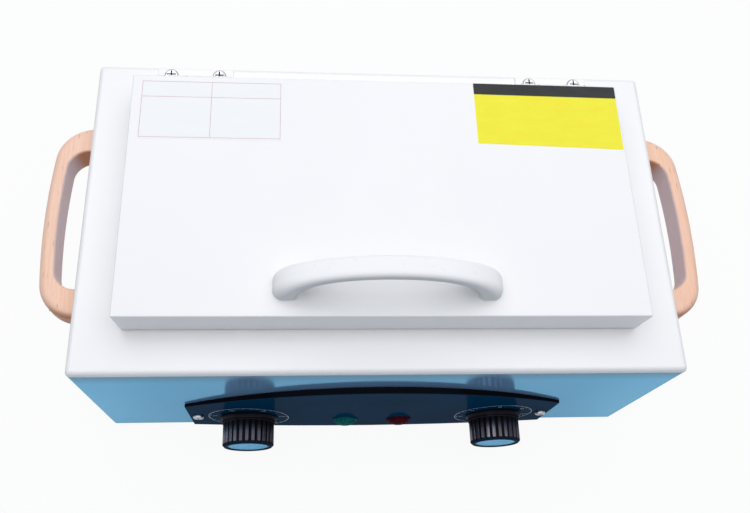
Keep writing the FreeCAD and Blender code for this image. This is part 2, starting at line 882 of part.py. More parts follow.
def lamp_lens(x):
    """A domed lens on a short flange."""
    out = Vector(0, -1, 0)
    seat = Vector(x, lamp_seat_y, lamp_z)
    flange = rod(lens_radius, seat, out, lens_flange_height)
    ball_radius = (lens_radius ** 2 + lens_dome_height ** 2) / (2 * lens_dome_height)
    front = seat + out * lens_flange_height
    ball = Part.makeSphere(ball_radius, front - out * (ball_radius - lens_dome_height))
    dome = ball.common(rod(lens_radius, front, out, lens_dome_height))
    return fuse([flange, dome])


def lamp_body(x):
    """A lamp's barrel with its nut behind the fascia and two tabs."""
    y1 = lamp_seat_y + lamp_body_length
    barrel = rod(lamp_body_radius, Vector(x, lamp_seat_y, lamp_z), Vector(0, 1, 0), lamp_body_length)
    nut = rod(lamp_nut_radius, Vector(x, inner_front_y, lamp_z), Vector(0, 1, 0), lamp_nut_height)
    tabs = []
    for s in (-1, 1):
        xt = x + s * lamp_tab_gap / 2
        tabs.append(box(xt - tab_thickness / 2, xt + tab_thickness / 2, y1 - seat_gap, y1 + tab_length,
                        lamp_z - tab_width / 2, lamp_z + tab_width / 2))
    return fuse([barrel, nut] + tabs)


# Tank and heat

def tank():
    """The deep-drawn tub hung from the deck by its flange."""
    def tub(inset, bottom, top):
        x = tank_half_x - inset
        y = tank_half_y - inset
        solid = plate(-x, x, tank_centre_y - y, tank_centre_y + y, bottom, top, tank_corner_radius - inset)
        floor = [e for e in solid.Edges if e.BoundBox.ZMax < bottom + tank_sheet / 2]
        return solid.makeFillet(tank_floor_radius - inset, floor)

    x = tank_half_x + tank_flange
    y = tank_half_y + tank_flange
    flange = plate(-x, x, tank_centre_y - y, tank_centre_y + y, deck_z, flange_top_z, tank_corner_radius)
    outer = fuse([tub(0, tank_bottom_z, flange_top_z), flange])
    whole = outer.cut(tub(tank_sheet, tank_bottom_z + tank_sheet, flange_top_z + overrun))
    bore = screw_shank_radius + hole_clearance
    return whole.cut([rod(bore, p, Vector(0, 0, -1), tank_sheet) for p in tank_screw_points()])


def tank_flange_screws():
    length = tank_sheet + sheet + screw_grip / 2
    one = screw(tank_screw_head_radius, tank_screw_head_height, screw_shank_radius, length)
    return [place(one, p, Vector(0, 0, 1)) for p in tank_screw_points()]


def heater_rows():
    """The Y places of the heater's four straight runs."""
    return [tank_centre_y + y for y in row(4, heater_bend_radius * 2)]


def heater_element():
    """A tubular heater in four runs under the tank, its two ends turned down."""
    rows = heater_rows()
    edges = []
    for i, y in enumerate(rows):
        x_right = heater_lead_run if i in (0, 3) else heater_half_run
        left = Vector(-heater_half_run, y, heater_z)
        edges.append(Part.LineSegment(left, Vector(x_right, y, heater_z)).toShape())
    for i, side in ((0, -1), (1, 1), (2, -1)):
        middle_y = (rows[i] + rows[i + 1]) / 2
        edges.append(Part.Arc(
            Vector(side * heater_half_run, rows[i], heater_z),
            Vector(side * (heater_half_run + heater_bend_radius), middle_y, heater_z),
            Vector(side * heater_half_run, rows[i + 1], heater_z),
        ).toShape())
    low = terminal_z + terminal_sleeve_length
    for y in (rows[0], rows[3]):
        lean = heater_lead_bend * (1 - math.cos(math.pi / 4))
        drop = heater_lead_bend * math.sin(math.pi / 4)
        x_end = heater_lead_run + heater_lead_bend
        edges.append(Part.Arc(
            Vector(heater_lead_run, y, heater_z),
            Vector(heater_lead_run + drop, y, heater_z - lean),
            Vector(x_end, y, heater_z - heater_lead_bend),
        ).toShape())
        turned = Vector(x_end, y, heater_z - heater_lead_bend)
        edges.append(Part.LineSegment(turned, Vector(x_end, y, low)).toShape())
    path = Part.Wire(Part.__sortEdges__(edges))
    start = Vector(heater_lead_run + heater_lead_bend, rows[0], low)
    ring = Part.Wire([Part.makeCircle(heater_tube_radius, start, Vector(0, 0, 1))])
    return path.makePipeShell([ring], True, False)


def heater_clamps():
    """Two flat bars that hold the heater's runs up against the tank."""
    z1 = heater_z - heater_tube_radius - seat_gap
    bars = []
    for s in (-1, 1):
        x = s * heater_half_run / 2
        bars.append(box(x - clamp_width / 2, x + clamp_width / 2, tank_centre_y - clamp_reach,
                        tank_centre_y + clamp_reach, z1 - clamp_thickness + seat_gap, z1))
    rows = heater_rows()
    studs = []
    for s in (-1, 1):
        for i in (0, 2):
            y = (rows[i] + rows[i + 1]) / 2
            foot = Vector(s * heater_half_run / 2, y, z1 - clamp_thickness + seat_gap)
            studs.append(rod(screw_shank_radius, foot, Vector(0, 0, 1), tank_bottom_z - foot.z))
    return [fuse([bars[0]] + studs[:2]), fuse([bars[1]] + studs[2:])]


def heater_terminals():
    """A ceramic sleeve and a stud at each end of the heater."""
    made = []
    x = heater_lead_run + heater_lead_bend
    for y in (heater_rows()[0], heater_rows()[3]):
        foot = Vector(x, y, terminal_z)
        sleeve = rod(terminal_sleeve_radius, foot, Vector(0, 0, 1), terminal_sleeve_length)
        stud = rod(terminal_stud_radius, foot, Vector(0, 0, -1), terminal_stud_length)
        made.append(fuse([sleeve, stud]))
    return made


def lead_holes(z0, z1):
    """Openings for the heater's ends and the sensing line."""
    x = heater_lead_run + heater_lead_bend
    ends = (heater_rows()[0], heater_rows()[3])
    cuts = [rod(lead_hole_radius, Vector(x, y, z0), Vector(0, 0, 1), z1 - z0) for y in ends]
    cuts.append(rod(bulb_radius, Vector(-capillary_turn_x, tank_centre_y, z0), Vector(0, 0, 1), z1 - z0))
    return cuts


def insulation_wrap():
    """A mineral wool jacket around the tank and under its heater."""
    top = deck_z - sheet - insulation_top_drop
    outer = plate(-wool_half_x, wool_half_x, tank_centre_y - wool_half_y, tank_centre_y + wool_half_y,
                  wool_floor_z, top, tank_corner_radius + insulation_thickness)
    x = tank_half_x + insulation_gap
    y = tank_half_y + insulation_gap
    floor = wool_floor_z + insulation_floor
    hollow = plate(-x, x, tank_centre_y - y, tank_centre_y + y, floor, top + overrun,
                   tank_corner_radius + insulation_gap)
    return outer.cut([hollow] + lead_holes(wool_floor_z - overrun, heater_z))


def heat_shield():
    """A thin sheet tray that carries the insulation, hung from the deck by its side flanges."""
    top = deck_z - sheet
    x = shield_half_x + thin_sheet
    y = shield_half_y + thin_sheet
    radius = tank_corner_radius + insulation_thickness
    outer = plate(-x, x, tank_centre_y - y, tank_centre_y + y, shield_under_z, top, radius + thin_sheet)
    hollow = plate(-shield_half_x, shield_half_x, tank_centre_y - shield_half_y,
                   tank_centre_y + shield_half_y, shield_floor_z, top + overrun, radius)
    y_keep = tank_centre_y + tank_half_y - tank_corner_radius
    y_low = tank_centre_y - tank_half_y + tank_corner_radius
    x_trim = x + overrun
    y_trim = y + overrun
    low = top - insulation_top_drop
    trims = [
        box(-x_trim, x_trim, tank_centre_y - y_trim, y_low, low, top + overrun),
        box(-x_trim, x_trim, y_keep, tank_centre_y + y_trim, low, top + overrun),
    ]
    flanges = both_sides(box(x, x + shield_flange, y_low, y_keep, top - thin_sheet, top))
    tray = outer.cut([hollow] + trims)
    bore = screw_shank_radius + hole_clearance
    holes = [rod(bore, p, Vector(0, 0, -1), overrun) for p in tank_screw_points()]
    return fuse([tray] + flanges).cut(holes + lead_holes(shield_under_z - overrun, shield_floor_z + overrun))


def thermostat_bulb():
    """The sensing bulb lying along the middle of the tank's underside."""
    z = tank_bottom_z - seat_gap - bulb_radius
    return rod(bulb_radius, Vector(-bulb_end_x, tank_centre_y, z), Vector(1, 0, 0), bulb_length)


def thermostat_capillary():
    """The fine tube from the bulb down to the back of the thermostat."""
    z_bulb = tank_bottom_z - seat_gap - bulb_radius
    z_low = control_z + capillary_exit_z
    y_back = inner_front_y + thermostat_depth
    x_exit = -control_x - capillary_exit_x
    points = [
        Vector(-bulb_end_x, tank_centre_y, z_bulb),
        Vector(-capillary_turn_x, tank_centre_y, z_bulb),
        Vector(-capillary_turn_x, tank_centre_y, z_low),
        Vector(-capillary_turn_x, y_back + capillary_slack, z_low),
        Vector(x_exit, y_back + capillary_slack, z_low),
        Vector(x_exit, y_back, z_low),
    ]
    return bent_tube(points, capillary_bend, capillary_radius)


def thermal_fuse():
    """A one-shot fuse strapped under the heat shield."""
    z = shield_under_z - fuse_radius
    end_x = fuse_x + fuse_length / 2
    barrel = rod(fuse_radius, Vector(end_x, tank_centre_y, z), Vector(-1, 0, 0), fuse_length)
    tab = box(end_x - seat_gap, end_x + fuse_tab_length,
              tank_centre_y - fuse_radius, tank_centre_y + fuse_radius,
              shield_under_z - fuse_tab_thickness, shield_under_z)
    return fuse([barrel, tab])


# Mains side

def power_inlet():
    """A three-pole appliance inlet in the rear panel."""
    y_out = rear_face_y + inlet_flange_thickness
    y_in = rear_face_y - inlet_body_depth
    x0 = -inlet_x

    def block(width, height, y0, y1, radius):
        solid = box(x0 - width / 2, x0 + width / 2, y0, y1, inlet_z - height / 2, inlet_z + height / 2)
        long_edges = [e for e in solid.Edges if e.BoundBox.YLength > (y1 - y0) / 2]
        return solid.makeFillet(radius, long_edges)

    flange = block(inlet_flange_width, inlet_flange_height, rear_face_y, y_out, inlet_corner_radius)
    body = block(inlet_body_width, inlet_body_height, y_in, rear_face_y + seat_gap, inlet_corner_radius / 2)
    floor_y = y_out - inlet_socket_depth
    socket = block(inlet_socket_width, inlet_socket_height, floor_y, y_out + overrun, inlet_corner_radius)
    holes = []
    for s in (-1, 1):
        seat = Vector(x0 + s * inlet_screw_spacing / 2, rear_face_y - overrun, inlet_z)
        holes.append(rod(screw_shank_radius + hole_clearance, seat, Vector(0, 1, 0), overrun * 2))
        holes.append(inlet_sink(x0 + s * inlet_screw_spacing / 2))
    blades = []
    for dx, dz in ((-inlet_blade_spread, -inlet_earth_rise / 2), (inlet_blade_spread, -inlet_earth_rise / 2),
                   (0, inlet_earth_rise / 2)):
        xb = x0 + dx
        zb = inlet_z + dz
        blades.append(box(xb - inlet_blade_width / 2, xb + inlet_blade_width / 2,
                          y_in - tab_length, floor_y + inlet_blade_length,
                          zb - inlet_blade_height / 2, zb + inlet_blade_height / 2))
    shell = fuse([flange, body]).cut([socket] + holes)
    return fuse([shell] + blades)


def inlet_sink(x):
    """The cone of a countersunk head in the inlet's flange."""
    y_out = rear_face_y + inlet_flange_thickness
    return Part.makeCone(inlet_head_radius, screw_shank_radius, inlet_head_height, Vector(x, y_out, inlet_z),
                         Vector(0, -1, 0))


def inlet_screws():
    """Two countersunk screws, flush with the inlet's flange."""
    made = []
    y_out = rear_face_y + inlet_flange_thickness
    for s in (-1, 1):
        x = -inlet_x + s * inlet_screw_spacing / 2
        shank = rod(screw_shank_radius, Vector(x, y_out, inlet_z), Vector(0, -1, 0),
                    inlet_flange_thickness + rear_panel_sheet + screw_grip)
        made.append(fuse([inlet_sink(x), shank]))
        nut = hex_nut(screw_shank_radius * nut_across_share, screw_shank_radius * nut_height_share,
                      screw_shank_radius)
        made.append(place(nut, Vector(x, rear_y, inlet_z), Vector(0, -1, 0)))
    return made


def block_back_y():
    return rear_y - block_y_from_rear + block_depth / 2


def block_front_y():
    return block_back_y() - block_depth


def terminal_block():
    """A ceramic three-pole block on the base plate."""
    body = box(block_x - block_width / 2, block_x + block_width / 2, block_front_y(), block_back_y(),
               base_top_z, base_top_z + block_height)
    wells = []
    top = base_top_z + block_height
    for x in row(3, block_pitch):
        for share in block_well_shares:
            y = block_front_y() + block_depth * share
            mouth = Vector(block_x + x, y, top)
            wells.append(rod(block_well_radius, mouth, Vector(0, 0, -1), block_well_depth))
    return body.cut(wells)


def terminal_block_screws():
    """The brass clamping screws in the block's wells."""
    made = []
    floor = base_top_z + block_height - block_well_depth
    for x in row(3, block_pitch):
        for share in block_well_shares:
            y = block_front_y() + block_depth * share
            one = screw(block_well_radius - hole_clearance, screw_head_height, screw_shank_radius,
                        seat_gap)
            made.append(place(one, Vector(block_x + x, y, floor + seat_gap), Vector(0, 0, 1)))
    return made


def inlet_tail_y():
    return rear_face_y - inlet_body_depth - tab_length - seat_gap


def earth_stud():
    """A welded stud and its nut, below the inlet's earth blade."""
    foot = Vector(-inlet_x, inlet_tail_y() - earth_lane, base_top_z)
    nut = hex_nut(earth_stud_radius * nut_across_share, earth_stud_radius * nut_height_share,
                  earth_stud_radius)
    nut.translate(foot)
    return fuse([rod(earth_stud_radius, foot, Vector(0, 0, 1), earth_stud_height), nut])


def wiring():
    """Insulated leads between inlet, block, controls, heater and lamps."""
    low = base_top_z + wire_low_rise
    mid = base_top_z + wire_mid_rise
    upper = base_top_z + wire_upper_rise
    tab_z = control_z + tab_rise
    reach = tab_length + seat_gap
    timer_y = inner_front_y + timer_depth + reach
    thermostat_y = inner_front_y + thermostat_depth + reach
    inlet_y = inlet_tail_y()
    blade_z = inlet_z - inlet_earth_rise / 2
    poles = [block_x + x for x in row(3, block_pitch)]
    heater_x = heater_lead_run + heater_lead_bend
    stud_z = terminal_z - terminal_stud_length - seat_gap
    rows = heater_rows()
    routes = []
    for sign, lane, pole in ((-1, 2, 0), (1, 1, 1)):
        x = -inlet_x + sign * inlet_blade_spread
        y = inlet_y - wire_lane * lane
        routes.append([
            Vector(x, inlet_y, blade_z), Vector(x, y, blade_z), Vector(x, y, low),
            Vector(poles[pole], y, low), Vector(poles[pole], block_back_y() + seat_gap, low),
        ])
    earth_y = inlet_y - earth_lane
    earth_z = inlet_z + inlet_earth_rise / 2
    routes.append([
        Vector(-inlet_x, inlet_y, earth_z), Vector(-inlet_x, earth_y, earth_z),
        Vector(-inlet_x, earth_y, base_top_z + earth_stud_height + seat_gap),
    ])
    timer_tab = control_x - tab_spread
    y = timer_y + wire_turn
    routes.append([
        Vector(poles[0], block_front_y() - seat_gap, low), Vector(poles[0], y, low),
        Vector(timer_tab, y, low), Vector(timer_tab, y, tab_z), Vector(timer_tab, timer_y, tab_z),
    ])
    far_tab = control_x + tab_spread
    y = timer_y + wire_turn + wire_lane / 2
    thermostat_tab = -control_x + tab_spread
    routes.append([
        Vector(far_tab, timer_y, tab_z), Vector(far_tab, y, tab_z), Vector(far_tab, y, upper),
        Vector(thermostat_tab, y, upper), Vector(thermostat_tab, y, tab_z),
        Vector(thermostat_tab, thermostat_y, tab_z),
    ])
    outer_tab = -control_x - tab_spread
    routes.append([
        Vector(outer_tab, thermostat_y, tab_z), Vector(outer_tab, rows[0], tab_z),
        Vector(outer_tab, rows[0], mid), Vector(heater_x, rows[0], mid), Vector(heater_x, rows[0], stud_z),
    ])
    y = block_front_y() - wire_turn
    routes.append([
        Vector(poles[1], block_front_y() - seat_gap, low), Vector(poles[1], y, low),
        Vector(heater_x, y, low), Vector(heater_x, rows[3], low), Vector(heater_x, rows[3], stud_z),
    ])
    lamp_y = lamp_seat_y + lamp_body_length + tab_length + seat_gap
    for s, width in ((-1, thermostat_width), (1, timer_width)):
        x_lamp = s * (lamp_x + lamp_tab_gap / 2)
        x_side = s * (control_x - width / 2 - seat_gap)
        x_turn = (x_lamp + x_side) / 2
        y_out = lamp_y + wire_turn
        y_side = inner_front_y + thermostat_depth / 2
        routes.append([
            Vector(x_lamp, lamp_y, lamp_z), Vector(x_lamp, y_out, lamp_z),
            Vector(x_turn, y_out, lamp_z), Vector(x_turn, y_side, lamp_z), Vector(x_side, y_side, lamp_z),
        ])
    return [bent_tube(points, wire_bend, wire_radius) for points in routes]


# Side grips

def grip_outline(reach, half_length, corner, bow_radius):
    """Edges of a rounded bow on the right side, and the two ends of its arms."""
    centre = Vector(half_width + reach - bow_radius, body_centre_y, 0)
    inner = bow_radius - corner
    rise = half_length - corner
    u = centre.x + math.sqrt(inner ** 2 - rise ** 2)
    edges = []
    ends = []
    joins = []
    for s in (-1, 1):
        hub = Vector(u, body_centre_y + s * rise, 0)
        on_arm = Vector(u, body_centre_y + s * half_length, 0)
        away = (hub - centre).normalize()
        on_bow = centre + away * bow_radius
        between = hub + (away + Vector(0, s, 0)).normalize() * corner
        end = Vector(half_width, on_arm.y, 0)
        edges.append(Part.LineSegment(end, on_arm).toShape())
        edges.append(Part.Arc(on_arm, between, on_bow).toShape())
        ends.append(end)
        joins.append(on_bow)
    crown = centre + Vector(bow_radius, 0, 0)
    edges.append(Part.Arc(joins[0], crown, joins[1]).toShape())
    return edges, ends


def right_grip():
    """The beech grip on the right side, rounded most on its outside."""
    top = deck_z - grip_top_drop
    outer, outer_ends = grip_outline(grip_reach, grip_half_length, grip_corner_radius, grip_bow_radius)
    inner, inner_ends = grip_outline(grip_reach - grip_bar, grip_inner_half_length,
                                     grip_inner_corner_radius, grip_bow_radius - grip_bar)
    feet = [Part.LineSegment(outer_ends[i], inner_ends[i]).toShape() for i in (0, 1)]
    outline = Part.Wire(Part.__sortEdges__(outer + inner + feet))
    flat = Part.Face(outline)
    flat.translate(Vector(0, 0, top - grip_thickness))
    body = flat.extrude(Vector(0, 0, grip_thickness))

    def follows(edge, path):
        if edge.BoundBox.ZLength > grip_thickness / 2:
            return False
        spot = edge.valueAt((edge.FirstParameter + edge.LastParameter) / 2)
        probe = Part.Vertex(Vector(spot.x, spot.y, 0))
        return min(probe.distToShape(p)[0] for p in path) < seat_gap / 2

    body = body.makeFillet(grip_outer_round, [e for e in body.Edges if follows(e, outer)])
    body = body.makeFillet(grip_inner_round, [e for e in body.Edges if follows(e, inner)])
    bores = [rod(grip_screw_radius, Vector(half_width, p.y, p.z), Vector(1, 0, 0), grip_screw_length)
             for p in grip_screw_points()]
    return body.cut(bores)


def grip_screws():
    """Screws from inside the cabinet into the grips' arms, with their washers."""
    made = []
    for p in grip_screw_points():
        washer = rod(grip_washer_radius, p, Vector(-1, 0, 0), grip_washer_thickness)
        seat = p - Vector(grip_washer_thickness, 0, 0)
        one = screw(screw_head_radius, screw_head_height, grip_screw_radius,
                    grip_washer_thickness + sheet + grip_screw_length)
        body = place(one, seat, Vector(-1, 0, 0))
        made.extend(both_sides(fuse([body, washer])))
    return made


# Lid

def lid_block(inset, bottom):
    """The lid's tapered block, drawn in by an inset, down to a height."""
    top = lid_top_z - inset
    slope = lid_draft / lid_height

    def half_at(z):
        return lid_width / 2 - inset - slope * (lid_top_z - z)

    y0 = lid_front_y + inset
    corners = [
        Vector(-half_at(bottom), y0, bottom), Vector(half_at(bottom), y0, bottom),
        Vector(half_at(top), y0, top), Vector(-half_at(top), y0, top),
    ]
    face = Part.Face(Part.makePolygon(corners + corners[:1]))
    return face.extrude(Vector(0, lid_depth - inset * 2, 0))


def post_points():
    """Lining posts under the lid's top, at the height of the pan."""
    z = pan_bottom_z + thin_sheet
    places = [(sx, sy) for sx in (-1, 0, 1) for sy in (-1, 1)]
    return [Vector(sx * post_spread_x, lid_centre_y + sy * post_spread_y, z) for sx, sy in places]


def bow_screw_points():
    """Where the bow handle's screws pass through the lid's top."""
    x = bow_inner_half_span + bow_foot_width / 2
    y = lid_front_y + bow_front_setback + bow_foot_depth / 2
    return [Vector(s * x, y, lid_ceiling_z) for s in (-1, 1)]


def rivet_points():
    """Rivets through the right-hand moving leaf and the lid's rear skirt."""
    return [Vector(hinge_x + s * hinge_screw_spacing / 2, lid_rear_y, pin_z + rivet_rise) for s in (-1, 1)]


def lid_shell():
    """A sharp-edged pan of painted sheet, open below, with welded posts."""
    outer = lid_block(0, lid_bottom_z)
    sharp = [e for e in outer.Edges if e.BoundBox.ZMax > lid_top_z - lid_edge_radius]
    outer = outer.makeFillet(lid_edge_radius, sharp)
    skin = outer.cut(lid_block(sheet, lid_bottom_z - overrun))
    posts = []
    holes = []
    for p in post_points():
        posts.append(rod(post_radius, p, Vector(0, 0, 1), lid_ceiling_z - p.z + seat_gap))
        holes.append(rod(screw_shank_radius, p, Vector(0, 0, 1), screw_grip))
    for p in bow_screw_points():
        start = p - Vector(0, 0, overrun)
        holes.append(rod(bow_screw_radius + hole_clearance, start, Vector(0, 0, 1), overrun * 2))
    for p in rivet_points():
        hole = rod(rivet_shank_radius, p, Vector(0, -1, 0), sheet)
        holes.extend(both_sides(hole))
    return fuse([skin] + posts).cut(holes)


def lining_half_x():
    return lid_width / 2 - lid_draft - sheet - lining_gap


def lid_inner_pan():
    """The bright inner pan that closes the lid from below."""
    x = lining_half_x()
    y0 = lid_front_y + sheet + lining_gap
    y1 = lid_rear_y - sheet - lining_gap
    t = thin_sheet
    outer = plate(-x, x, y0, y1, pan_bottom_z, pan_bottom_z + pan_rim, pan_corner_radius)
    hollow = plate(-x + t, x - t, y0 + t, y1 - t, pan_bottom_z + t, pan_bottom_z + pan_rim + overrun,
                   pan_corner_radius - t)
    bore = screw_shank_radius + hole_clearance
    holes = [rod(bore, p, Vector(0, 0, -1), thin_sheet) for p in post_points()]
    return outer.cut([hollow] + holes)


def lid_pan_screws():
    one = screw(screw_head_radius, screw_head_height, screw_shank_radius, thin_sheet + screw_grip)
    return [place(one, p - Vector(0, 0, thin_sheet), Vector(0, 0, -1)) for p in post_points()]


def lid_insulation():
    """A mineral wool pad between the lid's pan and its top."""
    inset = sheet + lining_gap + thin_sheet + lid_wool_gap
    x = lining_half_x() - thin_sheet - lid_wool_gap
    body = plate(-x, x, lid_front_y + inset, lid_rear_y - inset, pan_bottom_z + thin_sheet,
                 lid_ceiling_z - lid_wool_gap, pan_corner_radius)
    holes = [rod(post_radius + lid_wool_gap, p, Vector(0, 0, 1), lid_height) for p in post_points()]
    for p in bow_screw_points():
        holes.append(rod(pocket_radius, p, Vector(0, 0, -1), pocket_depth))
    return body.cut(holes)


def lid_gasket():
    """The silicone ring that presses on the tank's flange."""
    def ring(inset):
        x = tank_half_x + gasket_inset + inset
        y = tank_half_y + gasket_inset + inset
        return plate(-x, x, tank_centre_y - y, tank_centre_y + y, flange_top_z, pan_bottom_z,
                     tank_corner_radius + gasket_inset + inset)
    return ring(gasket_width).cut(ring(0))


def bow_section(x, z, normal_x, normal_z, width, depth):
    """One rounded section of the bow: width across the bow, depth from front to back."""
    y0 = lid_front_y + bow_front_setback + bow_foot_depth / 2
    low = width * bow_under_round_share
    high = width * bow_top_round_share
    half = depth / 2
    inner = -width / 2
    outer = width / 2

    def at(across, along):
        return Vector(x + normal_x * along, y0 + across, z + normal_z * along)

    def corner(cx, cz, radius, sx, sz):
        diagonal = radius * math.sin(math.pi / 4)
        first = at(cx + sx * radius, cz)
        middle = at(cx + sx * diagonal, cz + sz * diagonal)
        last = at(cx, cz + sz * radius)
        return first, middle, last

    a = corner(half - low, inner + low, low, 1, -1)
    b = corner(half - high, outer - high, high, 1, 1)
    c = corner(-half + high, outer - high, high, -1, 1)
    d = corner(-half + low, inner + low, low, -1, -1)
    edges = [
        Part.Arc(a[2], a[1], a[0]), Part.LineSegment(a[0], b[0]),
        Part.Arc(b[0], b[1], b[2]), Part.LineSegment(b[2], c[2]),
        Part.Arc(c[2], c[1], c[0]), Part.LineSegment(c[0], d[0]),
        Part.Arc(d[0], d[1], d[2]), Part.LineSegment(d[2], a[2]),
    ]
    return Part.Wire([e.toShape() for e in edges])


def lid_handle():
    """A moulded bow, flared at its feet, standing near the lid's front edge."""
    a = bow_inner_half_span + bow_foot_width / 2
    b = bow_inner_height + bow_grip_thickness / 2
    n = bow_squareness
    sections = []
    for i in range(bow_sections):
        t = math.pi * i / (bow_sections - 1)
        cos = math.cos(t)
        sin = abs(math.sin(t)) if 0 < i < bow_sections - 1 else 0
        x = math.copysign(a * abs(cos) ** (2 / n), cos)
        z = b * sin ** (2 / n)
        nx = math.copysign((abs(x) / a) ** (n - 1) / a, x)
        nz = (z / b) ** (n - 1) / b
        size = math.hypot(nx, nz)
        flare = (abs(x) / a) ** bow_flare_power
        width = bow_grip_thickness + (bow_foot_width - bow_grip_thickness) * flare
        depth = bow_grip_depth + (bow_foot_depth - bow_grip_depth) * flare
        sections.append(bow_section(x, lid_top_z + z, nx / size, nz / size, width, depth))
    body = Part.makeLoft(sections, True, False)
    bores = [rod(bow_screw_radius, Vector(p.x, p.y, lid_top_z), Vector(0, 0, 1), bow_screw_length)
             for p in bow_screw_points()]
    return body.cut(bores)


def lid_handle_screws():
    one = screw(screw_head_radius, screw_head_height, bow_screw_radius, sheet + bow_screw_length)
    return [place(one, p, Vector(0, 0, -1)) for p in bow_screw_points()]


# Hinges

def knuckles(indexes):
    """Start and end of chosen knuckles along the right-hand hinge."""
    length = (leaf_length - (knuckle_count - 1) * knuckle_gap) / knuckle_count
    start = hinge_x - leaf_length / 2
    begins = [start + i * (length + knuckle_gap) for i in indexes]
    return [(x, x + length) for x in begins]


def pin_bore():
    start = Vector(hinge_x - leaf_length, pin_y, pin_z)
    return rod(pin_radius + running_fit, start, Vector(1, 0, 0), leaf_length * 2)


def fixed_leaf():
    """The angle on the rear deck that carries the fixed knuckles."""
    x0 = hinge_x - leaf_length / 2
    x1 = hinge_x + leaf_length / 2
    y0 = pin_y + knuckle_radius - leaf_thickness
    y1 = pin_y + knuckle_radius
    foot = box(x0, x1, y0, rear_y - leaf_rear_margin, deck_z, deck_z + leaf_thickness)
    wall = box(x0, x1, y0, y1, deck_z, pin_z)
    notches = []
    for a, b in knuckles((1, 3)):
        notches.append(box(a - knuckle_gap, b + knuckle_gap, y0 - overrun, y1 + overrun,
                           pin_z - knuckle_radius - hinge_swing_gap, pin_z + overrun))
    spans = knuckles((0, 2, 4))
    barrels = [rod(knuckle_radius, Vector(a, pin_y, pin_z), Vector(1, 0, 0), b - a) for a, b in spans]
    whole = fuse([foot, wall.cut(notches)] + barrels)
    bore = hinge_screw_radius + hole_clearance
    holes = [rod(bore, p, Vector(0, 0, 1), overrun) for p in hinge_screw_points()]
    return whole.cut([pin_bore()] + holes)


def moving_leaf():
    """The leaf riveted to the lid's rear skirt."""
    x0 = hinge_x - leaf_length / 2
    x1 = hinge_x + leaf_length / 2
    face = box(x0, x1, lid_rear_y, lid_rear_y + leaf_thickness, pin_z - leaf_drop, pin_z + leaf_rise)
    pieces = [face]
    for a, b in knuckles((1, 3)):
        pieces.append(rod(knuckle_radius, Vector(a, pin_y, pin_z), Vector(1, 0, 0), b - a))
        pieces.append(box(a, b, lid_rear_y + leaf_thickness / 2, pin_y, pin_z - web_half, pin_z + web_half))
    holes = [rod(rivet_shank_radius, p, Vector(0, 1, 0), leaf_thickness) for p in rivet_points()]
    return fuse(pieces).cut([pin_bore()] + holes)


def hinge_pins():
    """A headed pin through each hinge."""
    x0 = hinge_x - leaf_length / 2
    low = Vector(x0 - seat_gap, pin_y, pin_z)
    high = Vector(x0 + leaf_length + seat_gap, pin_y, pin_z)
    heads = [
        rod(pin_head_radius, low, Vector(-1, 0, 0), pin_head_height),
        rod(pin_head_radius, high, Vector(1, 0, 0), pin_head_height),
    ]
    shaft = rod(pin_radius, low, Vector(1, 0, 0), leaf_length + seat_gap * 2)
    return both_sides(fuse([shaft] + heads))


def hinge_screws():
    """The four pan screws seen on the rear deck, with nuts under it."""
    made = []
    length = leaf_thickness + sheet + screw_grip
    for p in hinge_screw_points():
        one = screw(hinge_head_radius, hinge_head_height, hinge_screw_radius, length)
        body = place(one, p + Vector(0, 0, leaf_thickness), Vector(0, 0, 1))
        nut = hex_nut(hinge_screw_radius * nut_across_share, hinge_screw_radius * nut_height_share,
                      hinge_screw_radius)
        made.extend(both_sides(body))
        made.extend(both_sides(place(nut, p - Vector(0, 0, sheet), Vector(0, 0, -1))))
    return made


def hinge_rivets():
    """Rivets with a low head outside and a tail inside the skirt."""
    made = []
    for p in rivet_points():
        outer = p + Vector(0, leaf_thickness, 0)
        head = rod(rivet_head_radius, outer, Vector(0, 1, 0), rivet_head_height)
        shank = rod(rivet_shank_radius, outer, Vector(0, -1, 0), leaf_thickness + sheet)
        tail = rod(rivet_head_radius, p - Vector(0, sheet, 0), Vector(0, -1, 0), rivet_head_height)
        made.extend(both_sides(fuse([head, shank, tail])))
    return made


def fastened(points, length, direction):
    """The same screw at each of several points."""
    one = screw(screw_head_radius, screw_head_height, screw_shank_radius, length)
    return [place(one, p, direction) for p in points]


hinge_fixed = fixed_leaf()
hinge_moving = moving_leaf()
grip = right_grip()

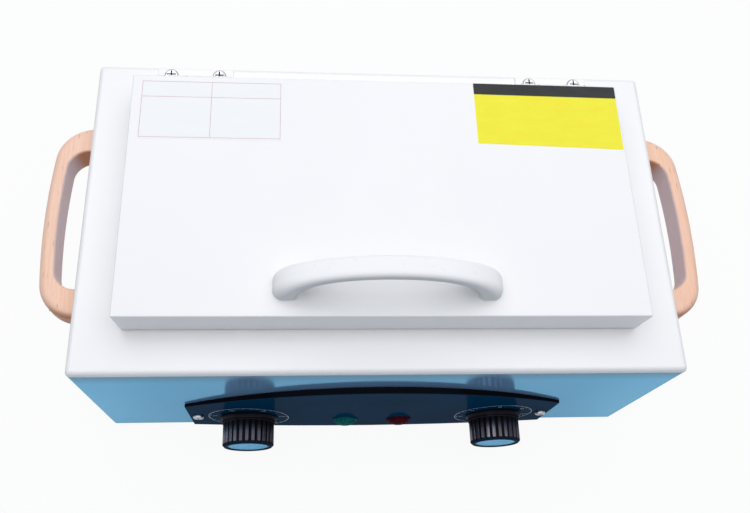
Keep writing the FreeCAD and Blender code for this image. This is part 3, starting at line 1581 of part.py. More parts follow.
nodes = {
    "cabinet_shell": [cabinet_shell()],
    "front_fascia": [front_fascia()],
    "rear_panel": [rear_panel()],
    "rear_panel_screws": fastened(rear_screw_points(), rear_panel_sheet + sheet + screw_grip,
                                  Vector(0, 1, 0)),
    "base_plate": [base_plate()],
    "base_screws": fastened(base_screw_points(), sheet * 2 + screw_grip / 2, Vector(0, 0, -1)),
    "rubber_feet": rubber_feet(),
    "foot_screws": foot_screws(),
    "control_panel": [control_panel()],
    "control_panel_screws": control_panel_screws(),
    "control_nuts": control_nuts(),
    "thermostat_body": [
        control_body(-control_x, thermostat_width, thermostat_height, thermostat_depth),
    ],
    "thermostat_shaft": [control_shaft(-control_x)],
    "thermostat_bulb": [thermostat_bulb()],
    "thermostat_capillary": [thermostat_capillary()],
    "timer_body": [control_body(control_x, timer_width, timer_height, timer_depth)],
    "timer_shaft": [control_shaft(control_x)],
    "temperature_knob": [knob(-control_x)],
    "temperature_knob_cap": [knob_cap(-control_x)],
    "timer_knob": [knob(control_x)],
    "timer_knob_cap": [knob_cap(control_x)],
    "green_lamp_lens": [lamp_lens(-lamp_x)],
    "green_lamp_body": [lamp_body(-lamp_x)],
    "red_lamp_lens": [lamp_lens(lamp_x)],
    "red_lamp_body": [lamp_body(lamp_x)],
    "tank": [tank()],
    "tank_flange_screws": tank_flange_screws(),
    "heater_element": [heater_element()],
    "heater_clamps": heater_clamps(),
    "heater_terminals": heater_terminals(),
    "insulation_wrap": [insulation_wrap()],
    "heat_shield": [heat_shield()],
    "thermal_fuse": [thermal_fuse()],
    "power_inlet": [power_inlet()],
    "inlet_screws": inlet_screws(),
    "terminal_block": [terminal_block()],
    "terminal_block_screws": terminal_block_screws(),
    "earth_stud": [earth_stud()],
    "wiring": wiring(),
    "left_wood_grip": [mirrored(grip)],
    "right_wood_grip": [grip],
    "grip_screws": grip_screws(),
    "hinge_left_fixed_leaf": [mirrored(hinge_fixed)],
    "hinge_right_fixed_leaf": [hinge_fixed],
    "hinge_left_moving_leaf": [mirrored(hinge_moving)],
    "hinge_right_moving_leaf": [hinge_moving],
    "hinge_pins": hinge_pins(),
    "hinge_screws": hinge_screws(),
    "hinge_rivets": hinge_rivets(),
    "lid_shell": [lid_shell()],
    "lid_inner_pan": [lid_inner_pan()],
    "lid_pan_screws": lid_pan_screws(),
    "lid_insulation": [lid_insulation()],
    "lid_gasket": [lid_gasket()],
    "lid_handle": [lid_handle()],
    "lid_handle_screws": lid_handle_screws(),
}

for name, solids in nodes.items():
    save(name, solids)
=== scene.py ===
"""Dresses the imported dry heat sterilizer: finishes for its parts, dial prints, stickers,
lamp lenses and a plain studio."""

import math

import bmesh
import bpy
from mathutils import Matrix, Vector


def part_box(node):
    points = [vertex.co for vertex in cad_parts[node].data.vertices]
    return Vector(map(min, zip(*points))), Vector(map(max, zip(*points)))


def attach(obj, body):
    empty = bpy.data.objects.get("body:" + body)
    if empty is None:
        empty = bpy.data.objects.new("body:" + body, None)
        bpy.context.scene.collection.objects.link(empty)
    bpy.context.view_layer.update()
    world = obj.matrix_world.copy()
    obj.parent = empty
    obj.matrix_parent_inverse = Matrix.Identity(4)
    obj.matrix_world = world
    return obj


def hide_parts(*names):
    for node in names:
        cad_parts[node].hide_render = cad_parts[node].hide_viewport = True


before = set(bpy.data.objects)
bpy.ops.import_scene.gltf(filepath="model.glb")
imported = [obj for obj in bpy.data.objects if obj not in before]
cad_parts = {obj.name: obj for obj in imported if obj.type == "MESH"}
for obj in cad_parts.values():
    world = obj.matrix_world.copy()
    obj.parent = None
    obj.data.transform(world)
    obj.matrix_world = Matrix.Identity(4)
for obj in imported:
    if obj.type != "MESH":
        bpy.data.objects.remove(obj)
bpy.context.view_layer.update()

MM = 0.001
KNOB_X = 80.4 * MM
KNOB_Z = 37.5 * MM
KNOB_AXES = ((-KNOB_X, 0.0, KNOB_Z), (KNOB_X, 0.0, KNOB_Z))
HINGE_SCREW_Y = 99.9 * MM
HINGE_SCREW_AXES = [(x * MM, HINGE_SCREW_Y, 0.0) for x in (-127.8, -98.5, 98.5, 127.8)]
SCREW_RECESS_REACH = (2.9 * MM, 3.1 * MM)
SCREW_RECESS_RIM = (138.2 * MM, 138.4 * MM)
SCREEN_KNEE = 0.04045

panel_low, panel_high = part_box("control_panel")
panel_end_x = panel_high.x - 0.5 * MM
panel_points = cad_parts["control_panel"].data.vertices
panel_end = min(point.co.y for point in panel_points if point.co.x > panel_end_x)
panel_bow = panel_end - panel_low.y


def panel_face(x):
    """The depth of the bowed panel's face at a place across it."""
    return panel_low.y + panel_bow * (x / panel_high.x) ** 2


# Shader writing

def paint(red, green, blue):
    """A colour as a screen shows it, from 0 to 255 each, as the shader's linear numbers."""
    linear = []
    for part in (red, green, blue):
        share = part / 255
        linear.append(share / 12.92 if share <= SCREEN_KNEE else ((share + 0.055) / 1.055) ** 2.4)
    return (*linear, 1.0)


def shaded(colour, share, lift=0.0):
    """A colour times a share, raised by a little, and held below white."""
    return tuple(min(1.0, part * share + lift) for part in colour[:3]) + (1.0,)


class Wire:
    """One shader value that takes part in sums."""

    def __init__(self, finish, socket):
        self.finish = finish
        self.socket = socket

    def sum_node(self, operation, first, second=0.0):
        return self.finish.add("ShaderNodeMath", {"operation": operation}, {0: first, 1: second})

    def __add__(self, other):
        return self.sum_node("ADD", self, other)

    def __sub__(self, other):
        return self.sum_node("SUBTRACT", self, other)

    def __mul__(self, other):
        return self.sum_node("MULTIPLY", self, other)

    def __abs__(self):
        return self.sum_node("ABSOLUTE", self)


class Finish:
    """One material, written node by node."""

    def __init__(self, name):
        self.material = bpy.data.materials.new(name)
        self.material.use_nodes = True
        self.tree = self.material.node_tree
        self.tree.nodes.clear()
        self.place = self.add("ShaderNodeTexCoord", {}, {}, "Object")

    def add(self, kind, settings, sockets, output=0):
        """A node of a type: its settings first, then its sockets' values or links."""
        node = self.tree.nodes.new(kind)
        for name, value in settings.items():
            setattr(node, name, value)
        for name, value in sockets.items():
            if isinstance(value, Wire):
                self.tree.links.new(value.socket, node.inputs[name])
            else:
                node.inputs[name].default_value = value
        return Wire(self, node.outputs[output])

    def stretched(self, x, y, z, start=None):
        """The place on the piece, or another vector, stretched along each axis."""
        return self.add("ShaderNodeVectorMath", {"operation": "MULTIPLY"},
                        {0: start or self.place, 1: (x, y, z)})

    def noise(self, scale, detail, rough, at=None, bend=0.0):
        """Cloudy noise: how fine it is, how many octaves it has, how much the fine ones count."""
        return self.add("ShaderNodeTexNoise", {}, {
            "Vector": at or self.place, "Scale": scale, "Detail": detail, "Roughness": rough,
            "Distortion": bend,
        })

    def cells(self, scale, at=None, feature="F1", output="Distance"):
        """Scattered cells: the distance to the nearest point, or that cell's own colour."""
        return self.add("ShaderNodeTexVoronoi", {"feature": feature},
                        {"Vector": at or self.place, "Scale": scale}, output)

    def waves(self, scale, at, bend, detail, detail_scale):
        """Bent bands that run across the piece at a slant."""
        return self.add("ShaderNodeTexWave", {"bands_direction": "DIAGONAL"}, {
            "Vector": at, "Scale": scale, "Distortion": bend, "Detail": detail,
            "Detail Scale": detail_scale,
        }, "Fac")

    def axis(self, name, start=None):
        """One coordinate of the place on the piece, or of another vector or colour."""
        return self.add("ShaderNodeSeparateXYZ", {}, {0: start or self.place}, name)

    def from_nearest(self, points, x, y, z):
        """The distance to the nearest of some points, along the axes that count."""
        nearest = None
        for point in points:
            local = self.add("ShaderNodeVectorMath", {"operation": "SUBTRACT"},
                             {0: self.place, 1: point})
            flat = self.stretched(x, y, z, start=local)
            away = self.add("ShaderNodeVectorMath", {"operation": "LENGTH"}, {0: flat}, "Value")
            nearest = nearest.sum_node("MINIMUM", nearest, away) if nearest else away
        return nearest

    def from_knob_axis(self):
        """The distance to the nearer knob's axis."""
        return self.from_nearest(KNOB_AXES, 1.0, 0.0, 1.0)

    def in_recess(self):
        """One inside the cross recesses of the hinge screws, and zero elsewhere."""
        away = self.from_nearest(HINGE_SCREW_AXES, 1.0, 1.0, 0.0)
        near = self.fit(away, *SCREW_RECESS_REACH, 1.0, 0.0)
        return near * self.fit(self.axis("Z"), *SCREW_RECESS_RIM, 1.0, 0.0)

    def fit(self, value, low, high, new_low=0.0, new_high=1.0, smooth=False):
        """A value carried from one range to another, and held inside it."""
        settings = {"clamp": True, "interpolation_type": "SMOOTHSTEP" if smooth else "LINEAR"}
        return self.add("ShaderNodeMapRange", settings, {
            "Value": value, "From Min": low, "From Max": high,
            "To Min": new_low, "To Max": new_high,
        })

    def blend(self, share, first, second):
        """Two colours mixed by a share of the second."""
        return self.add("ShaderNodeMix", {"data_type": "RGBA"}, {0: share, 6: first, 7: second}, 2)

    def relief(self, height, depth, strength, under=None):
        """A surface tilted by a height, whose depth is from its low to its high."""
        sockets = {"Height": height, "Distance": depth, "Strength": strength}
        if under:
            sockets["Normal"] = under
        return self.add("ShaderNodeBump", {}, sockets, "Normal")

    def softened(self, radius):
        """Normals that turn over a sharp edge as a rounded one would."""
        return self.add("ShaderNodeBevel", {"samples": 4}, {"Radius": radius}, "Normal")

    def leant(self, normal, rise, narrow=1.0):
        """Normals leant up by a share, and flattened across."""
        flat = self.stretched(narrow, 1.0, 1.0, start=normal)
        up = self.add("ShaderNodeVectorMath", {"operation": "ADD"}, {0: flat, 1: (0.0, 0.0, rise)})
        return self.add("ShaderNodeVectorMath", {"operation": "NORMALIZE"}, {0: up})

    def coat_of(self, base, roughness, **sockets):
        """Ends the material in one shader; returns the material."""
        shader = self.add("ShaderNodeBsdfPrincipled", {}, {
            "Base Color": base, "Roughness": roughness,
            **{name.replace("_", " "): value for name, value in sockets.items()},
        })
        self.add_end(shader)
        return self.material

    def add_end(self, shader):
        """Links a shader to the material's output."""
        end = self.tree.nodes.new("ShaderNodeOutputMaterial")
        self.tree.links.new(shader.socket, end.inputs["Surface"])


# Finishes

def enamel(name, colour, roughness=0.3):
    """Stoved enamel on sheet: faint orange peel, small changes of gloss, broad patches of dust."""
    f = Finish(name)
    peel = f.noise(520, 3.0, 0.55)
    broad = f.noise(14, 4.0, 0.6)
    smear = f.noise(55, 3.0, 0.55, at=f.stretched(1.0, 0.35, 1.0))
    base = f.blend(f.fit(broad, 0.3, 0.75), colour, shaded(colour, 0.98))
    gloss = f.fit(smear, 0.25, 0.8, roughness - 0.02, roughness + 0.04)
    normal = f.relief(peel, 0.06 * MM, 0.35, under=f.softened(0.6 * MM))
    return f.coat_of(base, gloss, Normal=normal, Coat_Weight=0.15, Coat_Roughness=0.08)


# The front's light blue is painted: it stands in for blue bounce light on white enamel.
PAINTED_BLUE_LIGHT = (0.30, 0.53, 0.83, 1.0)
PAINTED_BLUE_LIGHT_DEEP = (0.27, 0.49, 0.79, 1.0)
PEARL_FLAKE = (0.42, 0.68, 0.95, 1.0)
PAINTED_MIDDLE_SHADE = (0.16, 0.32, 0.56, 1.0)
PAINTED_TOP_SHADE = (0.22, 0.27, 0.40, 1.0)
PEARL_TINT = (0.30, 0.90, 1.0, 1.0)
MIDDLE_SHADE_REACH = (115 * MM, 165 * MM)
TOP_SHADE_REACH = (114 * MM, 130 * MM)


def pearl_enamel(name):
    """Glossy enamel with a fine metal flake; its light blue is painted blue bounce light, with
    painted shade in the middle and along the top.
    """
    f = Finish(name)
    flake = f.axis("X", f.cells(2600, output="Color"))
    peel = f.noise(420, 2.0, 0.5)
    broad = f.noise(11, 3.0, 0.55)
    # Painted blue bounce light, in random deeper patches and with flakes.
    base = f.blend(f.fit(broad, 0.3, 0.7), PAINTED_BLUE_LIGHT, PAINTED_BLUE_LIGHT_DEEP)
    base = f.blend(flake * 0.1, base, PEARL_FLAKE)
    # Painted shade: darker between the knobs, where the front mirrors the shadowed floor close in
    # front.
    middle = f.fit(abs(f.axis("X")), *MIDDLE_SHADE_REACH, 0.35, 0.0, smooth=True)
    base = f.blend(middle, base, PAINTED_MIDDLE_SHADE)
    # Painted shade: a darker grey-blue band under the top edge, standing in for a dark reflection
    # there.
    top = f.fit(f.axis("Z"), *TOP_SHADE_REACH, 0.0, 0.8, smooth=True)
    base = f.blend(top, base, PAINTED_TOP_SHADE)
    gloss = f.fit(f.noise(60, 3.0, 0.5), 0.3, 0.7, 0.09, 0.13)
    normal = f.relief(peel, 0.02 * MM, 0.12, under=f.leant(f.softened(0.5 * MM), 0.017))
    return f.coat_of(base, gloss, Metallic=0.46, Normal=normal, Specular_IOR_Level=0.1,
                     Specular_Tint=PEARL_TINT)


def navy_plate(name):
    """A screen-printed dark blue plate: satin field and a black cut rim."""
    f = Finish(name)
    grain = f.noise(900, 2.0, 0.6)
    broad = f.noise(20, 3.0, 0.6)
    base = f.blend(f.fit(broad, 0.3, 0.7), paint(6, 60, 92), paint(3, 53, 82))
    across = f.axis("X") * (1 / panel_high.x)
    depth = f.axis("Y") - (across * across * panel_bow + panel_low.y)
    base = f.blend(f.fit(depth, 0.1 * MM, 0.3 * MM), base, paint(16, 10, 15))
    gloss = f.fit(f.noise(80, 3.0, 0.5), 0.3, 0.7, 0.3, 0.42)
    normal = f.relief(grain, 0.03 * MM, 0.3)
    return f.coat_of(base, gloss, Normal=normal, Specular_IOR_Level=0.0, Coat_Weight=0.06,
                     Coat_Roughness=0.12)


FLUTE_FOOT = (15.7 * MM, 16.1 * MM)
GRIP_FRONT = (1.5 * MM, 1.9 * MM)
SHEEN_FADE = (7.5 * MM, 12.5 * MM)
KNOB_RIM = (1.0 * MM, 1.6 * MM)
KNOB_PAINTED_SHEEN = (0.135, 0.12, 0.15, 1.0)


def knob_plastic(name):
    """Polished black knob plastic with a dark blue front rim, and a painted sheen: a pale metallic
    highlight on the lands between the flutes, bright toward the front and fading in streaks toward
    the back.
    """
    f = Finish(name)
    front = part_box("temperature_knob")[0].y
    rise = f.axis("Y") - front
    # Painted sheen: the lands show a pale metallic highlight near the front, fading toward the
    # back, where the knob mirrors the dark front.
    land = f.fit(f.from_knob_axis(), *FLUTE_FOOT)
    body = f.fit(rise, *GRIP_FRONT) * f.fit(rise, *SHEEN_FADE, 1.0, 0.14)
    sheen_streaks = f.noise(105, 1.0, 0.5, at=f.stretched(1.0, 0.12, 1.0))
    painted_sheen = land * body * f.fit(sheen_streaks, 0.42, 0.58, 0.5, 1.0)
    base = f.blend(f.fit(f.noise(38, 4.0, 0.6), 0.35, 0.7), paint(12, 12, 20), paint(8, 8, 14))
    base = f.blend(f.fit(rise, *KNOB_RIM), paint(6, 38, 60), base)
    base = f.blend(painted_sheen, base, KNOB_PAINTED_SHEEN)
    gloss = f.fit(f.noise(140, 3.0, 0.5), 0.3, 0.7, 0.14, 0.2)
    normal = f.leant(f.softened(0.2 * MM), 0.0, narrow=0.5)
    return f.coat_of(base, gloss, Metallic=painted_sheen, Normal=normal, Specular_IOR_Level=0.0,
                     Coat_Weight=0.08, Coat_Roughness=0.15)


def moulded(name, colour, roughness, grain_scale=1100, grain_depth=0.03 * MM,
            soft_edge=0.3 * MM, depth=0.86, lean=0.0):
    """Moulded plastic: fine spark grain, slight flow marks and changes of gloss."""
    f = Finish(name)
    grain = f.noise(grain_scale, 2.0, 0.6)
    flow = f.noise(38, 4.0, 0.6, bend=0.6)
    base = f.blend(f.fit(flow, 0.3, 0.75), colour, shaded(colour, depth))
    gloss = f.fit(f.noise(140, 3.0, 0.5), 0.3, 0.7, roughness - 0.04, roughness + 0.07)
    under = f.softened(soft_edge) if soft_edge else f.add("ShaderNodeNewGeometry", {}, {}, "Normal")
    if lean:
        under = f.leant(under, lean)
    normal = f.relief(grain, grain_depth, 0.4, under=under)
    return f.coat_of(base, gloss, Normal=normal)


DISC_RINGS = 14000
DISC_RIM = (12.1 * MM, 12.4 * MM)


def turned_disc(name, colour):
    """Satin metal disc with fine rings about its own centre and a darker rim; its light blue is a
    painted reflection of blue surroundings.
    """
    f = Finish(name)
    radius = f.from_knob_axis()
    rings = f.add("ShaderNodeMath", {"operation": "SINE"}, {0: radius * DISC_RINGS})
    scuff = f.noise(300, 4.0, 0.6)
    base = f.blend(f.fit(f.noise(120, 3.0, 0.5), 0.3, 0.7), colour, shaded(colour, 1.16))
    base = f.blend(f.fit(radius, *DISC_RIM), base, paint(16, 76, 112))
    gloss = f.fit(scuff, 0.3, 0.7, 0.3, 0.42)
    normal = f.relief(rings, 0.01 * MM, 0.4)
    return f.coat_of(base, gloss, Metallic=0.2, Normal=normal, Specular_IOR_Level=0.15)


def beech(name):
    """Oiled steamed beech: grain along Y, growth lines, short flecks, a brown front end of darker
    end grain and painted shade, and painted grey-blue shade on faces turned to the cabinet.
    """
    f = Finish(name)
    along = f.stretched(1.0, 0.045, 1.0)
    sway = f.noise(34, 3.0, 0.5, at=along)
    lines = f.waves(300, along, bend=9.0, detail=3.0, detail_scale=1.6)
    pores = f.noise(2600, 2.0, 0.7, at=f.stretched(1.0, 0.06, 1.0))
    fleck_place = f.stretched(1.0, 0.13, 1.0)
    flecks = f.cells(620, at=fleck_place)
    fleck_gate = f.noise(240, 2.0, 0.5, at=fleck_place)
    fleck = f.fit(flecks, 0.13, 0.3, 1.0, 0.0) * f.fit(fleck_gate, 0.52, 0.6)
    base = f.blend(f.fit(sway, 0.3, 0.72), paint(255, 204, 172), paint(255, 218, 194))
    base = f.blend(f.fit(lines, 0.25, 0.9) * 0.2, base, paint(230, 172, 138))
    base = f.blend(f.fit(pores, 0.58, 0.8) * 0.18, base, paint(196, 134, 98))
    base = f.blend(fleck * 0.6, base, paint(168, 106, 72))
    broad = f.noise(22, 3.0, 0.5)
    base = f.blend(f.fit(broad, 0.35, 0.75) * 0.3, base, paint(255, 210, 194))
    # Darker end grain with painted shade on the faces turned to the front.
    facing = f.add("ShaderNodeTexCoord", {}, {}, "Normal")
    end_grain_and_front_shade = f.fit(f.axis("Y", facing), -0.95, -0.3, 1.0, 0.0, smooth=True)
    base = f.blend(end_grain_and_front_shade * 0.95, base, paint(196, 128, 86))
    # Painted grey-blue shade on the faces turned toward the cabinet.
    side = f.add("ShaderNodeMath", {"operation": "SIGN"}, {0: f.axis("X")})
    painted_inner_shade = f.fit(f.axis("X", facing) * side, -0.9, -0.4, 1.0, 0.0, smooth=True)
    base = f.blend(painted_inner_shade * 0.6, base, paint(196, 192, 208))
    gloss = f.fit(pores, 0.3, 0.8, 0.36, 0.52)
    normal = f.relief(pores, 0.08 * MM, 0.35)
    return f.coat_of(base, gloss, Normal=normal, Specular_IOR_Level=0.25, Coat_Weight=0.04,
                     Coat_Roughness=0.25)


def brushed(name, colour, direction, roughness, scratch=0.35):
    """Rolled or brushed steel, with its grain along one axis."""
    f = Finish(name)
    stretch = {"X": (0.03, 1.0, 1.0), "Y": (1.0, 0.03, 1.0)}[direction]
    grain = f.noise(1500, 3.0, 0.6, at=f.stretched(*stretch))
    stain = f.noise(26, 4.0, 0.6)
    deep = shaded(colour, 0.78)
    base = f.blend(f.fit(stain, 0.35, 0.75), colour, deep)
    base = f.blend(f.fit(grain, 0.4, 0.7) * 0.3, base, deep)
    gloss = f.fit(grain, 0.3, 0.7, roughness - 0.07, roughness + 0.1)
    normal = f.relief(grain, 0.03 * MM, scratch, under=f.softened(0.3 * MM))
    return f.coat_of(base, gloss, Metallic=1.0, Normal=normal)


def plated(name, colour, roughness=0.24, painted_recess_shade=False):
    """Bright plated hardware with faint tool marks, grime in patches, and painted shade in cross
    recesses.
    """
    f = Finish(name)
    cloud = f.noise(420, 4.0, 0.6)
    spots = f.fit(f.noise(900, 3.0, 0.7), 0.55, 0.75)
    base = f.blend(f.fit(cloud, 0.35, 0.7), colour, shaded(colour, 0.62))
    # Painted shade: the cross recesses are darkened.
    if painted_recess_shade:
        base = f.blend(f.in_recess(), base, paint(26, 26, 28))
    gloss = f.fit(cloud, 0.3, 0.7, roughness - 0.06, roughness + 0.14) + spots * 0.08
    normal = f.relief(f.noise(1700, 3.0, 0.6), 0.03 * MM, 0.3, under=f.softened(0.2 * MM))
    return f.coat_of(base, gloss, Metallic=1.0, Normal=normal)


def galvanized(name):
    """Zinc-dipped sheet with its spangle of flat crystals."""
    f = Finish(name)
    crystals = f.cells(170, output="Color")
    shade = f.axis("X", crystals)
    border = f.cells(170, feature="DISTANCE_TO_EDGE")
    base = f.blend(shade, paint(150, 155, 160), paint(188, 192, 196))
    base = f.blend(f.fit(border, 0.0, 0.05, 0.35, 0.0), base, paint(120, 124, 128))
    gloss = f.fit(f.axis("Y", crystals), 0.0, 1.0, 0.32, 0.55)
    normal = f.relief(f.noise(600, 3.0, 0.6), 0.04 * MM, 0.3)
    return f.coat_of(base, gloss, Metallic=0.9, Normal=normal)


def rubber(name, colour, roughness=0.62):
    """Matt rubber with a dusty bloom."""
    f = Finish(name)
    bloom = f.noise(160, 5.0, 0.65)
    base = f.blend(f.fit(bloom, 0.4, 0.75), colour, shaded(colour, 1.6, 0.012))
    gloss = f.fit(bloom, 0.3, 0.7, roughness - 0.06, roughness + 0.16)
    return f.coat_of(base, gloss, Normal=f.relief(f.noise(1300, 3.0, 0.6), 0.05 * MM, 0.5))


def glazed(name, colour):
    """Steatite ceramic: creamy, fine speckled, half glazed."""
    f = Finish(name)
    speck = f.fit(f.noise(1500, 2.0, 0.6), 0.62, 0.72)
    base = f.blend(speck * 0.45, colour, paint(178, 166, 146))
    gloss = f.fit(f.noise(200, 3.0, 0.6), 0.3, 0.7, 0.28, 0.45)
    return f.coat_of(base, gloss, Normal=f.relief(f.noise(800, 3.0, 0.6), 0.04 * MM, 0.4))


def wool(name):
    """Pressed mineral wool: tangled pale fibres with darker gaps."""
    f = Finish(name)
    fibre = f.noise(900, 6.0, 0.75, at=f.stretched(1.0, 1.0, 3.0), bend=2.0)
    clump = f.noise(90, 4.0, 0.6)
    base = f.blend(f.fit(fibre, 0.3, 0.72), paint(150, 132, 92), paint(222, 208, 168))
    base = f.blend(f.fit(clump, 0.4, 0.7) * 0.35, base, paint(190, 172, 126))
    gloss = f.fit(fibre, 0.3, 0.7, 0.82, 0.97)
    return f.coat_of(base, gloss, Normal=f.relief(fibre, 0.6 * MM, 0.8))


def lens(name, colour, deep):
    """Tinted acrylic in two depths of its colour, with a hard satin skin."""
    f = Finish(name)
    body = f.noise(420, 3.0, 0.6)
    base = f.blend(f.fit(body, 0.3, 0.7), colour, deep)
    gloss = f.fit(f.noise(300, 2.0, 0.5), 0.3, 0.7, 0.2, 0.28)
    normal = f.relief(f.noise(1500, 2.0, 0.5), 0.02 * MM, 0.2)
    return f.coat_of(base, gloss, Normal=normal, Specular_IOR_Level=0.0, Coat_Weight=0.06,
                     Coat_Roughness=0.15)


def jacket(name, colour):
    """Silicone rubber lead covering, lightly dusted."""
    f = Finish(name)
    dust = f.noise(260, 4.0, 0.6)
    base = f.blend(f.fit(dust, 0.35, 0.7), colour, shaded(colour, 0.8))
    gloss = f.fit(dust, 0.3, 0.7, 0.37, 0.54)
    return f.coat_of(base, gloss, Normal=f.relief(f.noise(1400, 2.0, 0.5), 0.04 * MM, 0.35))


def ink(name, colour):
    """Screen ink: solid, very slightly uneven in cover."""
    f = Finish(name)
    cover = f.noise(1400, 3.0, 0.6)
    base = f.blend(f.fit(cover, 0.4, 0.75), colour, shaded(colour, 0.8))
    gloss = f.fit(cover, 0.3, 0.7, 0.35, 0.48)
    return f.coat_of(base, gloss, Normal=f.relief(cover, 0.01 * MM, 0.3))


def vinyl(name, colour, roughness=0.2):
    """Glossy label film with a few shallow ripples."""
    f = Finish(name)
    ripple = f.noise(70, 3.0, 0.5, at=f.stretched(1.0, 2.2, 1.0))
    fine = f.noise(900, 2.0, 0.5)
    base = f.blend(f.fit(ripple, 0.3, 0.7), colour, shaded(colour, 1.05, 0.01))
    gloss = f.fit(fine, 0.3, 0.7, roughness - 0.03, roughness + 0.05)
    normal = f.relief(ripple, 0.6 * MM, 0.35, under=f.relief(fine, 0.02 * MM, 0.3))
    return f.coat_of(base, gloss, Normal=normal, Specular_IOR_Level=0.18, Coat_Weight=0.05,
                     Coat_Roughness=0.05)


finish = {
    "white_enamel": enamel("white_enamel", paint(252, 250, 249)),
    "rear_enamel": enamel("rear_enamel", paint(238, 240, 244), 0.36),
    "blue_enamel": pearl_enamel("blue_enamel"),
    "navy_panel": navy_plate("navy_panel"),
    "zinc": plated("zinc_plate", paint(196, 198, 204)),
    "hinge_zinc": plated("hinge_screw_zinc", paint(196, 198, 204), painted_recess_shade=True),
    "steel": brushed("hinge_steel", paint(186, 188, 192), "X", 0.28),
    "tube_steel": brushed("heater_sheath", paint(140, 136, 132), "X", 0.4, 0.5),
    "stainless_x": brushed("tank_stainless", paint(204, 206, 208), "X", 0.26, 0.3),
    "stainless_y": brushed("pan_stainless", paint(206, 208, 210), "Y", 0.24, 0.3),
    "galvanized": galvanized("galvanized_sheet"),
    "brass": plated("brass", paint(206, 172, 96), 0.3),
    "copper": plated("copper_tube", paint(196, 124, 88), 0.32),
    "foot_rubber": rubber("foot_rubber", paint(30, 30, 32)),
    "gasket_silicone": rubber("gasket_silicone", paint(186, 66, 48), 0.5),
    "knob_black": knob_plastic("knob_black"),
    # The cap's light blue is a painted reflection of blue surroundings in a pale metal cap.
    "knob_disc": turned_disc("knob_disc", paint(72, 188, 236)),
    "inlet_black": moulded("inlet_black", paint(26, 26, 28), 0.38, grain_scale=800,
                           grain_depth=0.05 * MM),
    "lamp_black": moulded("lamp_black", paint(34, 34, 36), 0.4),
    "control_cream": moulded("control_cream", paint(222, 214, 196), 0.4),
    "handle_white": moulded("handle_white", paint(253, 251, 251), 0.3, soft_edge=0.0,
                            depth=0.985, lean=0.75),
    "ceramic": glazed("terminal_ceramic", paint(232, 226, 212)),
    "wool": wool("mineral_wool"),
    "wire": jacket("wire_jacket", paint(226, 220, 206)),
    "beech": beech("oiled_beech"),
    "green_lens": lens("green_lens", paint(20, 124, 116), paint(8, 76, 76)),
    "red_lens": lens("red_lens", paint(96, 13, 30), paint(50, 6, 16)),
    "white_ink": ink("white_ink", paint(196, 208, 222)),
    "red_ink": ink("red_ink", paint(222, 170, 178)),
    "header_vinyl": vinyl("header_black", paint(20, 22, 28), 0.16),
    "yellow_vinyl": vinyl("yellow_vinyl", paint(254, 240, 46)),
    "white_vinyl": vinyl("white_vinyl", paint(253, 252, 250), 0.22),
}

nodes_of_finish = {
    "white_enamel": ["cabinet_shell", "lid_shell", "hinge_left_fixed_leaf",
                     "hinge_right_fixed_leaf", "hinge_left_moving_leaf",
                     "hinge_right_moving_leaf"],
    "rear_enamel": ["rear_panel"],
    "blue_enamel": ["front_fascia"],
    "navy_panel": ["control_panel"],
    "zinc": ["rear_panel_screws", "base_screws", "foot_screws", "control_panel_screws",
             "tank_flange_screws", "inlet_screws", "grip_screws", "lid_pan_screws",
             "lid_handle_screws"],
    "hinge_zinc": ["hinge_screws"],
    "steel": ["thermostat_shaft", "timer_shaft", "timer_body", "hinge_pins", "hinge_rivets",
              "heater_clamps", "thermal_fuse"],
    "tube_steel": ["heater_element"],
    "stainless_x": ["tank"],
    "stainless_y": ["lid_inner_pan"],
    "galvanized": ["base_plate", "heat_shield"],
    "brass": ["control_nuts", "terminal_block_screws", "earth_stud"],
    "copper": ["thermostat_bulb", "thermostat_capillary"],
    "foot_rubber": ["rubber_feet"],
    "gasket_silicone": ["lid_gasket"],
    "knob_black": ["temperature_knob", "timer_knob"],
    "knob_disc": ["temperature_knob_cap", "timer_knob_cap"],
    "inlet_black": ["power_inlet"],
    "lamp_black": ["green_lamp_body", "red_lamp_body"],
    "control_cream": ["thermostat_body"],
    "handle_white": ["lid_handle"],
    "ceramic": ["heater_terminals", "terminal_block"],
    "wool": ["insulation_wrap", "lid_insulation"],
    "wire": ["wiring"],
    "beech": ["left_wood_grip", "right_wood_grip"],
    "green_lens": ["green_lamp_lens"],
    "red_lens": ["red_lamp_lens"],
}

for key, names in nodes_of_finish.items():
    for name in names:
        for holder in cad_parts[name].material_slots:
            holder.material = finish[key]


# Pieces built here

def piece(name, mesh, body, material):
    """A new piece that rides on a body."""
    made = bpy.data.objects.new(name, mesh)
    bpy.context.scene.collection.objects.link(made)
    mesh.materials.append(material)
    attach(made, body)
    return made


def mesh_from(name, build):
    """A mesh filled by a function that draws into it."""
    shape = bmesh.new()
    build(shape)
    bmesh.ops.recalc_face_normals(shape, faces=shape.faces)
    mesh = bpy.data.meshes.new(name)
    shape.to_mesh(mesh)
    shape.free()
    return mesh


def prism(shape, outline, lift):
    """A thin solid from a closed outline and a step to its other side."""
    near = [shape.verts.new(p) for p in outline]
    far = [shape.verts.new(Vector(p) + lift) for p in outline]
    shape.faces.new(near)
    shape.faces.new(far)
    for i in range(len(near)):
        j = (i + 1) % len(near)
        shape.faces.new((near[i], near[j], far[j], far[i]))


def join_rings(shape, rings):
    """Faces between each closed ring of points and the next one."""
    for one, two in zip(rings, rings[1:]):
        for k in range(len(one)):
            m = (k + 1) % len(one)
            shape.faces.new((one[k], one[m], two[m], two[k]))


INK = Vector((0, -0.04 * MM, 0))
WHOLE_TURN = math.tau - 0.001


